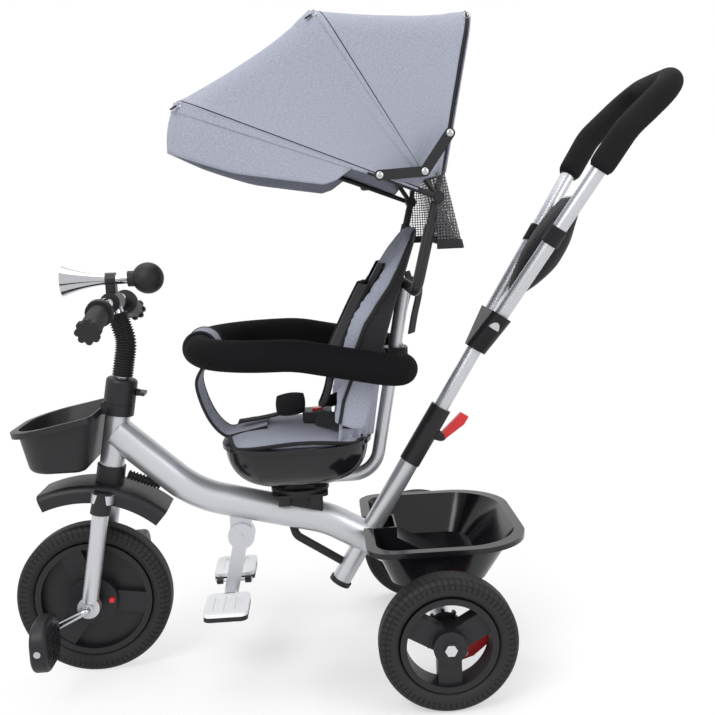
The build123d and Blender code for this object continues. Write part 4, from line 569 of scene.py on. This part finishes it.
def smooth_line(points, count):
    """A smooth line through points, by Catmull-Rom pieces."""
    points = np.array(points, float)
    padded = np.vstack([2 * points[0] - points[1], points, 2 * points[-1] - points[-2]])
    fine = []
    for k in range(len(points) - 1):
        a, b, c, d = padded[k:k + 4]
        for t in np.linspace(0, 1, 40, endpoint=k == len(points) - 2):
            square = (2 * a - 5 * b + 4 * c - d) * t**2
            fine.append(0.5 * (2 * b + (c - a) * t + square + (3 * b - a - 3 * c + d) * t**3))
    return even_points(fine, count)


def rounded_path(points, radii, step=0.006):
    """A line through points with each corner rounded by an arc."""
    points = [np.array(point, float) for point in points]
    line = [points[0]]
    for before, corner, after, radius in zip(points, points[1:], points[2:], radii):
        back = (before - corner) / np.linalg.norm(before - corner)
        ahead = (after - corner) / np.linalg.norm(after - corner)
        half = math.acos(np.clip(np.dot(back, ahead), -1, 1)) / 2
        bisector = (back + ahead) / np.linalg.norm(back + ahead)
        centre = corner + bisector * radius / math.sin(half)
        first = (corner + back * radius / math.tan(half) - centre) / radius
        second = (corner + ahead * radius / math.tan(half) - centre) / radius
        sweep = math.pi - 2 * half
        for turn in np.linspace(0, 1, 14):
            spot = first * math.sin((1 - turn) * sweep) + second * math.sin(turn * sweep)
            line.append(centre + radius * spot / math.sin(sweep))
    line.append(points[-1])
    return even_points(line, step=step)


def both_sides(points):
    """A line over both sides: the points mirrored to the left, then the points themselves, reversed."""
    left = [(x, -y, z) for x, y, z in points]
    return left + list(reversed(points))


def from_ends(line):
    """How many points away the nearer end of a line is."""
    count = np.arange(len(line))
    return np.minimum(count, count[::-1])


print("lines ready")

# %% [markdown]
# ## Cloth helpers
# Sewn cloth is a little uneven. The back and seat pads are swollen by air in the cloth solver with their sewn
# lines held, and then dressed in two materials. Each finished piece is fastened to the body that it rides on.

# %% Cloth helpers
SWELL_CAP, VOXEL = 0.006, 0.005


def area_of(thing):
    return sum(polygon.area for polygon in thing.data.polygons)


def ripple(points, size, scale, seed):
    """Small, steady unevenness for hand-sewn cloth, from a few fixed waves."""
    points = np.array(points, float)
    shift = np.zeros(len(points))
    rng = np.random.default_rng(seed)
    for _ in range(6):
        wave = rng.normal(size=3) * scale
        shift += np.sin(points @ wave + rng.uniform(0, 2 * math.pi))
    return shift * size / 6


def swell(pad, sewn):
    """Fill a pad with air in the cloth solver. No point moves further than the cap."""
    even = pad.modifiers.new("even", "REMESH")
    even.mode = "VOXEL"
    even.voxel_size = VOXEL
    bake(pad)
    start = np.array([tuple(vertex.co) for vertex in pad.data.vertices])
    held = pad.vertex_groups.new(name="sewn")
    held.add([index for index, point in enumerate(start) if sewn(point)], 1.0, "REPLACE")
    air = pad.modifiers.new("air", "CLOTH")
    air.settings.use_pressure = True
    air.settings.uniform_pressure_force = 4.0
    air.settings.effector_weights.gravity = 0.0
    air.settings.vertex_group_mass = "sewn"
    for step in range(1, 21):
        scene.frame_set(step)
    filled = pad.evaluated_get(bpy.context.evaluated_depsgraph_get()).data
    move = np.array([tuple(vertex.co) for vertex in filled.vertices]) - start
    reach = np.linalg.norm(move, axis=1, keepdims=True)
    final = start + move * np.minimum(1, SWELL_CAP / np.maximum(reach, 1e-9))
    pad.modifiers.clear()
    pad.vertex_groups.clear()
    scene.frame_set(1)
    for vertex, point in zip(pad.data.vertices, final):
        vertex.co = point
    print(pad.name, "swelled by up to", round(float(min(SWELL_CAP, reach.max())), 4))
    finer = pad.modifiers.new("finer", "SUBSURF")
    finer.levels = finer.render_levels = 1
    return bake(pad)


def dress(pad, materials, choose):
    """Give each face one of the materials, and a map in metres from the side that it faces."""
    mesh = pad.data
    mesh.materials.clear()
    for material in materials:
        mesh.materials.append(material)
    layer = mesh.uv_layers.new(name="map")
    for polygon in mesh.polygons:
        polygon.use_smooth = True
        polygon.material_index = choose(np.array(polygon.center))
        facing = int(np.argmax(np.abs(polygon.normal)))
        for loop in polygon.loop_indices:
            place = mesh.vertices[mesh.loops[loop].vertex_index].co
            layer.data[loop].uv = [place[axis] for axis in range(3) if axis != facing]


def fasten(piece, body, node=None):
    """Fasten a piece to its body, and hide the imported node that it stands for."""
    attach(piece, body)
    if node:
        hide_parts(node)


print("cloth helpers ready")

# %% [markdown]
# ## Canopy
# The cloth is stretched over three bows that share one pivot axis. Each panel sags a little between its bows.
# The visor hangs from the front bow and narrows toward its ends.

# %% Canopy panels
PIVOT = np.array((0.1153, 0.0, 0.7241))
BOWS = {"rear": (78.5, 0.176, 0.246), "mid": (122.6, 0.1864, 0.292), "front": (158.6, 0.1968, 0.364)}
CORNER = 0.036
LEG_STEPS, BEND_STEPS, TOP_STEPS = 14, 9, 22
CLOTH_OFF = 0.0055
CLOTH_WIDTH, CLOTH_THICKNESS = 0.6, 0.0016
REAR_SAG, FRONT_SAG = 0.006, 0.008
ACROSS = np.array((0, 1, 0))


def bow_curve(angle, half, length, start, off):
    """Points of a bow's outer line from the left leg to the right, and the way out of the bow at each."""
    half, length, corner = half + off, length + off, CORNER + off
    left = [(-half, reach, -1, 0) for reach in np.linspace(start, length - corner, LEG_STEPS)]
    for turn in np.linspace(0, math.pi / 2, BEND_STEPS + 2)[1:-1]:
        out, rise = -math.cos(turn), math.sin(turn)
        left.append((-half + corner + corner * out, length - corner + corner * rise, out, rise))
    top = [(side, length, 0, 1) for side in np.linspace(-half + corner, half - corner, TOP_STEPS)]
    flat = np.array(left + top + [(-side, reach, -out, rise) for side, reach, out, rise in reversed(left)])
    way = np.array((math.cos(math.radians(angle)), 0, math.sin(math.radians(angle))))
    points = PIVOT + flat[:, 1:2] * way + flat[:, 0:1] * ACROSS
    return points, flat[:, 3:4] * way + flat[:, 2:3] * ACROSS


def panel_row(first, second, start, sag, share, lift=0.0):
    """One line of a panel, at a share of the way between two bows. The bows' pockets stand proud."""
    near, near_out = bow_curve(*first, start, CLOTH_OFF)
    far, far_out = bow_curve(*second, start, CLOTH_OFF)
    row = near * (1 - share) + far * share
    out = near_out * (1 - share) + far_out * share
    proud = np.interp(share, [0, 0.10, 0.14, 0.93, 0.96, 1], [0.0014, 0.0014, 0, 0, 0.0014, 0.0014])
    return row + out * (proud - sag * 4 * share * (1 - share) + ripple(row, 0.0012, 45, 3)[:, None] + lift)


def canopy_panel(name, first, second, sag, node):
    rows = [panel_row(first, second, 0.030, sag, share) for share in np.linspace(0, 1, 44)]
    cloth = thicken(grid_sheet(name, rows, grey_cloth), CLOTH_THICKNESS)
    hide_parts(node)
    return cloth


rear_panel = canopy_panel("rear_cloth", BOWS["rear"], BOWS["mid"], REAR_SAG, "canopy_rear_panel")
front_panel = canopy_panel("front_cloth", BOWS["mid"], BOWS["front"], FRONT_SAG, "canopy_front_panel")
print("canopy cloth area", round(area_of(rear_panel) / 2, 3), round(area_of(front_panel) / 2, 3))

# %% [markdown]
# The visor's rows turn down about the pivot from the front bow. The back panel closes the rear bow.

# %% Visor and back panel


def visor_rows():
    upper, out = bow_curve(*BOWS["front"], 0.122, CLOTH_OFF)
    flat = upper - PIVOT
    reach = np.linalg.norm(flat[:, [0, 2]], axis=1)
    drop = np.interp(reach, [0.122, 0.130, 0.138, 0.152, 0.27, 0.37], [2.0, 7.0, 10.5, 13.5, 13.0, 10.0])
    rows = []
    for share in np.linspace(0, 1, 12):
        turn = np.radians(drop * share)
        x = flat[:, 0] * np.cos(turn) - flat[:, 2] * np.sin(turn)
        z = flat[:, 0] * np.sin(turn) + flat[:, 2] * np.cos(turn)
        row = PIVOT + np.stack([x, flat[:, 1], z], axis=1)
        tip = 0.003 * math.sin(math.pi * share) - 0.005 * share
        bulge = np.interp(reach, [0.2, 0.37], [0.003 * share, tip])
        rows.append(row + out * (bulge + ripple(row, 0.0015 * share, 50, 5))[:, None])
    return rows


def back_panel_rows():
    bow, _ = bow_curve(*BOWS["rear"], 0.036, 0.0045)
    half = len(bow) // 2
    rows = []
    for share in np.linspace(0, 1, 16):
        row = bow[:half] * (1 - share) + bow[::-1][:half] * share
        row = row + np.array((0.012, 0, 0)) * (4 * share * (1 - share))
        rows.append(row + np.array((0.006, 0, -0.001)))
    return rows


visor = thicken(grid_sheet("visor_cloth", visor_rows(), grey_cloth), CLOTH_THICKNESS)
fasten(visor, "front_bow", "canopy_visor")
back_cloth = thicken(grid_sheet("back_cloth", back_panel_rows(), grey_cloth), CLOTH_THICKNESS)
fasten(back_cloth, "canopy_mast", "canopy_back_panel")
print("visor area", round(area_of(visor) / 2, 3))

# %% [markdown]
# Dark thread marks the seams, wire loops hold the cloth at the corners, and domed rivets close the links.
# Each of them rides on the bow or link under it.

# %% Canopy seams


def seam(name, line, radius, body):
    fasten(tube(name, line, radius, black_cloth), body)


def bow_loop(name, bow, body, sign, tag):
    """A small wire ring on the corner of a bow. Some have a black tag of tape."""
    line, out = bow_curve(*bow, 0.03, 0.0065)
    corner = LEG_STEPS + 4
    index = corner if sign < 0 else len(line) - 1 - corner
    middle = line[index] + out[index] * 0.0036
    turns = np.linspace(0, 2 * math.pi, 20)[:-1]
    ring = [middle + 0.0038 * np.array((math.cos(turn), 0, math.sin(turn))) for turn in turns]
    fasten(tube(f"{name}_ring", ring, 0.0006, chrome, sides=6, closed=True), body)
    if tag:
        start, way = np.array((-0.002, 0, -0.002)), np.array((-0.009, 0, -0.005))
        tail = [middle + (start + way * share) for share in np.linspace(0, 1, 6)]
        fasten(ribbon(f"{name}_tag", tail, 0.004, 0.0016, ACROSS, webbing), body)


def rivet(name, place, body):
    """A domed rivet head on each side of the canopy."""
    steps = [(0.0, 0.0052), (0.0008, 0.0052), (0.0018, 0.0044), (0.0026, 0.0028), (0.0029, 0.0008)]
    for side, sign in SIDES:
        line = [np.array((place[0], sign * (place[1] + step), place[2])) for step, _ in steps]
        head = tube(f"{name}_{side}", line, [radius for _, radius in steps], chrome, sides=24)
        fasten(head, body)


seam("mid_seam", panel_row(BOWS["rear"], BOWS["mid"], 0.035, REAR_SAG, 0.94, 0.0010), 0.0007, "mid_bow")
seam("front_seam", panel_row(BOWS["mid"], BOWS["front"], 0.075, FRONT_SAG, 0.97, 0.0010), 0.0007, "front_bow")
seam("rear_piping", bow_curve(*BOWS["rear"], 0.090, 0.0064)[0], 0.0018, "canopy_mast")
front_angle, *front_size = BOWS["front"]
hem_turns = np.linspace(-0.2, 2.0, 5)
hem_rows = [bow_curve(front_angle + turn, *front_size, 0.100, 0.0070)[0] for turn in hem_turns]
front_hem = thicken(grid_sheet("front_hem", hem_rows, grey_cloth), 0.0012)
fasten(front_hem, "front_bow")
LOOPS = (("rear", "canopy_mast", False), ("mid", "mid_bow", True), ("front", "front_bow", True))
for bow, body, tag in LOOPS:
    for side, sign in SIDES:
        bow_loop(f"{bow}_loop_{side}", BOWS[bow], body, sign, tag)
rivet("rear_rivet", (0.13207, 0.2071, 0.80642), "canopy_mast")
rivet("front_rivet", (0.03711, 0.2105, 0.75476), "front_bow")
rivet("knee_rivet", (0.09704, 0.2105, 0.75771), "stretcher_front")
print("canopy seams", 3, "rivets", 6)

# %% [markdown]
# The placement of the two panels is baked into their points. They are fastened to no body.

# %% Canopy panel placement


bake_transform(rear_panel)
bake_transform(front_panel)
for cloth in (rear_panel, front_panel, visor, back_cloth):
    area = area_of(cloth) / 2
print("folding panels", 2)

# %% [markdown]
# ## Net pocket
# A net hangs behind the posts in soft folds and ends in a dark band.

# %% Net pocket


def net_row(share):
    """One level line of the net, from the left post round the back to the right post."""
    deep = 0.128 + 0.022 * share
    path = rounded_path(both_sides([(0.114, 0.181, 0), (deep, 0.177, 0)]), [0.008, 0.008], step=0.003)
    given, wanted = np.linspace(0, 1, len(path)), np.linspace(0, 1, 150)
    line = np.stack([np.interp(wanted, given, path[:, axis]) for axis in range(3)], axis=1)
    folds = np.cos(np.clip(line[:, 1] / 0.17, -1, 1) * math.pi / 2)
    line[:, 0] += 0.006 * folds * np.sin(line[:, 1] / 0.34 * 2 * math.pi * 8.5) * (0.4 + 0.6 * share)
    line[:, 2] = 0.757 - 0.098 * share
    return line


def net_part(name, shares, material, thickness):
    piece = thicken(grid_sheet(name, [net_row(share) for share in shares], material), thickness)
    fasten(piece, "canopy_mast")
    return piece


net_sheet = net_part("net_pocket", np.linspace(0, 1, 24), net, 0.0008)
band = net_part("net_band", np.linspace(0.93, 1.05, 5), black_cloth, 0.0035)
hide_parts("net_curtain")
print("net area", round(area_of(net_sheet) / 2, 3))

# %% [markdown]
# ## Seat cover
# A pad is a front grid and a back grid, joined by a side wall that bulges a little.

# %% Pad shell


def grid_of(place, rows, columns):
    return [[place(a, b) for b in columns] for a in rows]


def closed_pad(name, front_rows, back_rows, material, side_rings=3, bulge=0.003):
    """A stuffed pad, and the line of its front edge. Rings of points make its side wall."""
    front, back = np.array(front_rows, float), np.array(back_rows, float)
    count, length = front.shape[:2]
    shift = count * length
    index = np.arange(shift).reshape(count, length)
    ring = np.concatenate([index[0], index[1:, -1], index[-1, -2::-1], index[-2:0:-1, 0]]).tolist()
    points = [front.reshape(-1, 3), back.reshape(-1, 3)]
    front_edge, back_edge = points[0][ring], points[1][ring]
    outward = front_edge - points[0].mean(axis=0)
    outward /= np.linalg.norm(outward, axis=1)[:, None]
    maps = grid_map(front) + grid_map(back)
    around = running(np.linalg.norm(np.diff(front_edge, axis=0), axis=1))
    rings = [ring]
    for k in range(1, side_rings + 1):
        share = k / (side_rings + 1)
        swollen = outward * bulge * 4 * share * (1 - share)
        points.append(front_edge * (1 - share) + back_edge * share + swollen)
        rings.append([2 * shift + (k - 1) * len(ring) + n for n in range(len(ring))])
        maps += [(reach, 0.05 * share) for reach in around]
    rings.append([shift + n for n in ring])
    faces = []
    for i in range(count - 1):
        for j in range(length - 1):
            a, d = i * length + j, (i + 1) * length + j
            faces.append((a, a + 1, d + 1, d))
            faces.append((shift + d, shift + d + 1, shift + a + 1, shift + a))
    for upper, lower in zip(rings, rings[1:]):
        for n in range(len(ring)):
            m = (n + 1) % len(ring)
            faces.append((upper[m], upper[n], lower[n], lower[m]))
    return mesh_object(name, np.concatenate(points), faces, maps, material), front_edge


print("pad shell ready")

# %% [markdown]
# The back pad leans rearward. Its half width, its forward wings, its depth and the place of its piping
# change with the share of its height.

# %% Back pad
BACK_FOOT = np.array((-0.017, 0, 0.398))
BACK_HEIGHT, BACK_LEAN = 0.305, math.radians(17)
lean = np.array((math.sin(BACK_LEAN), 0, math.cos(BACK_LEAN)))
rearward = np.array((math.cos(BACK_LEAN), 0, -math.sin(BACK_LEAN)))


def back_half_width(share):
    return np.interp(share, [0, 0.25, 0.55, 0.64, 0.8, 0.93, 1.0],
                     [0.112, 0.118, 0.117, 0.105, 0.094, 0.072, 0.040])


def wing_forward(share):
    """How far the side edges stand forward of the back's plane."""
    return np.interp(share, [0, 0.1, 0.21, 0.366, 0.51, 0.58, 0.683, 0.756, 0.88, 1.0],
                     [0.022, 0.030, 0.032, 0.041, 0.038, 0.032, 0.020, 0.011, -0.008, -0.026])


def rear_depth(share):
    """How far the rear face stands behind the back's plane."""
    return np.interp(share, [0, 0.2, 0.45, 0.62, 0.8, 1.0], [0.031, 0.029, 0.025, 0.026, 0.030, 0.034])


def piping_place(share):
    """Where the piping runs on the side wall, forward of the back's plane."""
    return np.interp(share, [0, 0.12, 0.25, 0.37, 0.5, 0.6, 0.7, 0.8, 0.9, 1.0],
                     [0.013, 0.016, 0.012, 0.018, 0.014, 0.004, -0.008, -0.015, -0.021, -0.028])


def back_place(point):
    """A point as its share of the back's height and its distance forward of the back's plane."""
    from_foot = np.array(point) - BACK_FOOT
    return float(from_foot @ lean) / BACK_HEIGHT, -float(from_foot @ rearward)


def back_sewn(point):
    share, ahead = back_place(point)
    at_side = abs(point[1]) > 0.85 * back_half_width(share)
    return ahead < -0.015 or (at_side and abs(ahead - piping_place(share)) < 0.005)


def back_colour(point):
    share, ahead = back_place(point)
    return 1 if share > 0.36 and ahead < piping_place(share) else 0


def back_spot(share, across, ahead):
    return BACK_FOOT + lean * (BACK_HEIGHT * share) + ACROSS * across - rearward * ahead


def back_front(share, side):
    edge, top = abs(side), max(0.0, (share - 0.82) / 0.18)
    puff = 0.010 * (1 - edge**4) * (1 - (2 * share - 1)**8) - 0.020 * top**2
    ahead = wing_forward(share) * edge**3.2 + puff * (1 - edge**3)
    return back_spot(share, side * back_half_width(share), ahead)


def back_rear(share, side):
    depth = rear_depth(share) - 0.006 * abs(side)**4
    return back_spot(share, side * back_half_width(share) * 0.97, -depth)


back_steps = (np.linspace(0, 1, 44), np.linspace(-1, 1, 45))
back_pad, _ = closed_pad(
    "back_cushion", grid_of(back_front, *back_steps), grid_of(back_rear, *back_steps), grey_cloth,
)
swell(back_pad, back_sewn)
dress(back_pad, [grey_cloth, black_cloth], back_colour)
fasten(back_pad, "seat", "back_pad")
print("back pad faces", len(back_pad.data.polygons))

# %% [markdown]
# The piping is laid on the swollen pad: each point is moved to the nearest place on its surface.

# %% Back piping
surface = BVHTree.FromPolygons([vertex.co for vertex in back_pad.data.vertices],
                               [tuple(polygon.vertices) for polygon in back_pad.data.polygons])
piping_line = []
for sign, shares in ((-1, np.linspace(0.0, 0.985, 60)), (1, np.linspace(0.985, 0.0, 60))):
    for share in shares:
        beside = back_spot(share, sign * (back_half_width(share) + 0.004), piping_place(share))
        spot, normal, _, _ = surface.find_nearest(Vector(beside))
        piping_line.append(np.array(spot + normal * 0.001))
back_piping = tube("back_piping", piping_line, 0.0026, black_cloth)
fasten(back_piping, "seat")
print("back piping points", len(piping_line))

# %% [markdown]
# The seat pad is a square grid pulled to a rounded outline, with a crown on top and piping around its edge.

# %% Seat pad
SEAT_MIDDLE = np.array((-0.095, 0, 0.368))
SEAT_HALF = (0.104, 0.106)


def seat_face(on_top):
    def place(a, b):
        squash, edge = 1 - 0.16 * (a * b) ** 2, max(abs(a), abs(b))
        wave = 0.004 * math.sin(5 * b + 3 * a) * edge**6
        under = -0.003 + wave - 0.008 * (1 - edge**6)
        z = 0.003 + 0.014 * (1 - edge**5) + wave if on_top else under
        return SEAT_MIDDLE + np.array((a * SEAT_HALF[0] * squash, b * SEAT_HALF[1] * squash, z))

    steps = np.linspace(-1, 1, 40)
    return grid_of(place, steps, steps)


def seat_sewn(point):
    reach = np.abs((np.array(point) - SEAT_MIDDLE)[:2]) / SEAT_HALF
    return point[2] < SEAT_MIDDLE[2] or reach.max() > 0.94 or abs(reach[0] - 0.33) < 0.03


seat_cushion, seat_edge = closed_pad(
    "seat_cushion", seat_face(True), seat_face(False), grey_cloth, side_rings=2, bulge=0.001,
)
swell(seat_cushion, seat_sewn)
dress(seat_cushion, [grey_cloth, black_cloth], lambda point: int(point[2] < SEAT_MIDDLE[2] - 0.002))
fasten(seat_cushion, "seat", "seat_pad")
seat_piping = tube("seat_piping", seat_edge, 0.003, black_cloth, closed=True)
fasten(seat_piping, "seat")
print("seat pad faces", len(seat_cushion.data.polygons))

# %% [markdown]
# The cover's gathered skirt wraps the rear of the pan below the back pad.

# %% Seat skirt
SKIRT_DROP, SKIRT_TURN = 0.09, 1.08
skirt_rows = []
for share in np.linspace(0, 1, 14):
    turn = np.linspace(-SKIRT_TURN, SKIRT_TURN, 90)
    spread = 0.116 + 0.004 * np.sin(turn * 34) * (0.2 + 0.8 * share) - 0.010 * share
    x = -0.085 + spread * np.cos(turn) * (1 + 0.06 * (1 - share))
    z = 0.452 - 0.088 * share - 0.030 * turn**2 * (1 - share)
    skirt_rows.append(np.stack([x, spread * np.sin(turn), z], axis=1))
skirt = thicken(grid_sheet("seat_skirt", skirt_rows, grey_cloth), 0.002)
fasten(skirt, "seat")
print("skirt area", round(area_of(skirt) / 2, 3))

# %% [markdown]
# ## Guard ring
# A knitted foam sleeve covers the ring and narrows at its ends.

# %% Ring sleeve
RING_MIDDLE = np.array((-0.234, 0, 0.513))
RING = [(0.066, 0.096, 0.4805), (0.066, 0.150, 0.4805), (-0.090, 0.150, 0.513), (-0.234, 0.150, 0.513)]
RING_RADII = [0.040, 0.200, 0.118, 0.118, 0.200, 0.040]
sleeve_line = rounded_path(both_sides(RING), RING_RADII)
sleeve_radius = 0.0230 - 0.008 * np.exp(-from_ends(sleeve_line) / 0.8)
ring_sleeve = tube("ring_sleeve", sleeve_line, sleeve_radius, knit_foam, sides=28)
fasten(ring_sleeve, "seat", "guard_ring_foam")
print("ring sleeve points", len(sleeve_line))

# %% [markdown]
# ## Straps
# A cloth cuff goes round the ring, and a wide strap with piped edges runs from it down to the seat.

# %% Ring strap


def piped_edges(name, line, half, radius):
    return [tube(f"{name}_{side}", np.array(line) + ACROSS * (sign * half), radius, black_cloth)
            for side, sign in SIDES]


cuff_line = [RING_MIDDLE + np.array((0.0253 * math.cos(turn), 0, 0.0253 * math.sin(turn)))
             for turn in np.linspace(math.radians(-100), math.radians(262), 40)]
cuff = ribbon("ring_cuff", cuff_line, 0.062, 0.002, ACROSS, grey_cloth)
strap_points = smooth_line([
    (RING_MIDDLE[0] + 0.004, 0, RING_MIDDLE[2] - 0.0240), (-0.243, 0, 0.458), (-0.229, 0, 0.408),
    (-0.205, 0, 0.378), (-0.180, 0, 0.380), (-0.140, 0, 0.388),
], 60)
front_strap = ribbon("front_strap", strap_points, 0.074, 0.003, ACROSS, grey_cloth)
ring_straps = [cuff, front_strap, *piped_edges("front_strap_edge", strap_points, 0.037, 0.0024)]
ring_straps += piped_edges("cuff_edge", cuff_line, 0.031, 0.0022)
for piece in ring_straps:
    fasten(piece, "seat")
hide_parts("harness_straps")
print("ring straps", len(ring_straps))

# %% [markdown]
# The harness is dark webbing: shoulder straps with pads, lap straps, a crotch strap with its pad,
# and two loose tails behind the back.

# %% Harness
WEB_WIDTH, WEB_THICKNESS = 0.025, 0.002


def web(name, line, across):
    return ribbon(name, line, WEB_WIDTH, WEB_THICKNESS, across, webbing)


def crotch_face(sign):
    def place(a, b):
        full = (1 - a**4) * (1 - b**4)
        x, z = -0.103 + 0.022 * a * (1 - 0.10 * b * b), 0.4160 + 0.0175 * b * (1 - 0.16 * a * a)
        spot = np.array((x, -0.008 + 0.008 * a, z))
        return spot + np.array((-0.3, 1, -0.2)) * sign * (0.002 + 0.005 * full)

    steps = np.linspace(-1, 1, 16)
    return grid_of(place, steps, steps)


harness = []
for side, sign in SIDES:
    twisted = (0.28, sign * 0.96, 0)
    shoulder = smooth_line([
        (0.046, sign * 0.045, 0.632), (0.006, sign * 0.047, 0.560), (-0.030, sign * 0.046, 0.485),
        (-0.046, sign * 0.040, 0.432), (-0.056, sign * 0.018, 0.412),
    ], 40)
    lap = smooth_line([
        (-0.008, sign * 0.108, 0.405), (-0.040, sign * 0.075, 0.402), (-0.058, sign * 0.040, 0.398),
        (-0.062, sign * 0.020, 0.397),
    ], 30)
    tail = smooth_line([
        (0.094, sign * 0.070, 0.612), (0.0985, sign * 0.072, 0.590), (0.090, sign * 0.076, 0.555),
        (0.084, sign * 0.080, 0.528),
    ], 24)
    pad_line = shoulder[6:30] + np.array((-0.007, 0, 0.002))
    harness.append(web(f"shoulder_strap_{side}", shoulder, twisted))
    harness.append(web(f"lap_strap_{side}", lap, (0.35, 0, 0.94)))
    harness.append(ribbon(f"shoulder_pad_{side}", pad_line, 0.046, 0.007, twisted, black_cloth))
    harness.append(web(f"strap_tail_{side}", tail, (0.45, 0.89, 0)))
crotch_line = smooth_line([
    (-0.186, 0.004, 0.3905), (-0.150, 0.004, 0.3945), (-0.118, 0.002, 0.4010), (-0.094, 0, 0.4090),
    (-0.084, 0, 0.4120),
], 40)
harness.append(web("crotch_strap", crotch_line, ACROSS))
crotch_pad, _ = closed_pad(
    "crotch_pad", crotch_face(-1), crotch_face(1), black_cloth, side_rings=1, bulge=0.001,
)
for piece in [*harness, crotch_pad]:
    fasten(piece, "seat")
print("harness pieces", len(harness) + 1)

# %% [markdown]
# ## Push bar
# The grip is a foam sleeve over the bar's loop.

# %% Push grip
LEG_FOOT = np.array((0.22719, 0, 0.54383))
LEG_ANGLE, TOP_ANGLE = math.radians(56.6), math.radians(42)
LEG_WAY = np.array((math.cos(LEG_ANGLE), 0, math.sin(LEG_ANGLE)))
LEG_DOWN = np.array((LEG_WAY[2], 0, -LEG_WAY[0]))
TOP_WAY = np.array((math.cos(TOP_ANGLE), 0, math.sin(TOP_ANGLE)))
LEG_LENGTH = 0.325


def leg_point(along, side):
    """A point on the middle line of one leg of the push bar."""
    return LEG_FOOT + LEG_WAY * along + np.array((0, side * (0.040 + 0.060 * along / LEG_LENGTH), 0))


leg_top = leg_point(LEG_LENGTH, 1)
loop = [tuple(point) for point in (leg_point(0.255, 1), leg_top, leg_top + TOP_WAY * 0.105)]
grip_line = rounded_path(both_sides(loop), [0.090, 0.052, 0.052, 0.090])
grip_radius = 0.0190 - 0.004 * np.exp(-from_ends(grip_line) / 0.6) + ripple(grip_line, 0.0004, 60, 8)
push_grip = tube("grip_sleeve", grip_line, grip_radius, plain_foam, sides=28)
fasten(push_grip, "push_handle", "push_grip")
print("grip points", len(grip_line))

# %% [markdown]
# A small bag hangs between the bar's legs by two straps. It is a shell whose sections are wide ovals,
# thickest in the middle, with pale piping.

# %% Push bag
BAG_SIDES, PIPING = 48, 0.0014
bag_rows = []
for share in np.linspace(0, 1, 40):
    half = np.interp(share, [0, 0.08, 0.5, 0.92, 1], [0.018, 0.026, 0.042, 0.056, 0.050])
    deep = 0.004 + 0.024 * math.sin(math.pi * share) ** 0.8
    sunk = 0.006 + 0.006 * math.sin(math.pi * share)
    middle = LEG_FOOT + LEG_WAY * (0.035 + 0.180 * share) + LEG_DOWN * sunk
    row = []
    for turn in np.linspace(0, 2 * math.pi, BAG_SIDES, endpoint=False):
        across = np.sign(math.cos(turn)) * abs(math.cos(turn)) ** 0.7
        lift = np.sign(math.sin(turn)) * abs(math.sin(turn)) ** 0.9
        row.append(middle + np.array((0, half * across, 0)) + LEG_DOWN * deep * lift)
    row = np.array(row)
    bag_rows.append(row + LEG_DOWN * ripple(row, 0.0015, 70, 11)[:, None])
bag_rows = np.array(bag_rows)
push_bag = grid_sheet("bag_shell", bag_rows, black_cloth, around=True, ends=True)
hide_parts("push_bag")
bag_pieces = [push_bag]
for side, column in (("left", BAG_SIDES // 2), ("right", 0)):
    bag_pieces.append(tube(f"bag_piping_{side}", bag_rows[:, column], PIPING, pale_piping))
bag_pieces.append(tube("bag_piping_top", bag_rows[-2], PIPING, pale_piping, closed=True))
for side, sign in SIDES:
    strap = [leg_point(along, sign) for along in np.linspace(0.128, 0.156, 8)]
    bag_pieces.append(tube(f"bag_strap_{side}", strap, 0.0137, webbing, sides=24))
    inward = [leg_point(0.142, sign * share) + LEG_DOWN * drop
              for share, drop in ((1, 0.0128), (0.72, 0.018), (0.45, 0.024))]
    bag_pieces.append(ribbon(f"bag_tab_{side}", smooth_line(inward, 14), 0.026, 0.002, LEG_WAY, webbing))
for piece in bag_pieces:
    fasten(piece, "push_handle")
print("bag area", round(area_of(push_bag), 3))

# %% [markdown]
# ## Size
# The last cell prints the box of everything that shows, leaving out the floor.

# %% Finish
bpy.context.view_layer.update()
low = np.full(3, 1e9)
high = np.full(3, -1e9)
for thing in scene.objects:
    if thing.type != "MESH" or thing == floor or thing.hide_render:
        continue
    corners = np.array([thing.matrix_world @ Vector(corner) for corner in thing.bound_box])
    low, high = np.minimum(low, corners.min(axis=0)), np.maximum(high, corners.max(axis=0))
print("visual box", low.round(3), high.round(3))
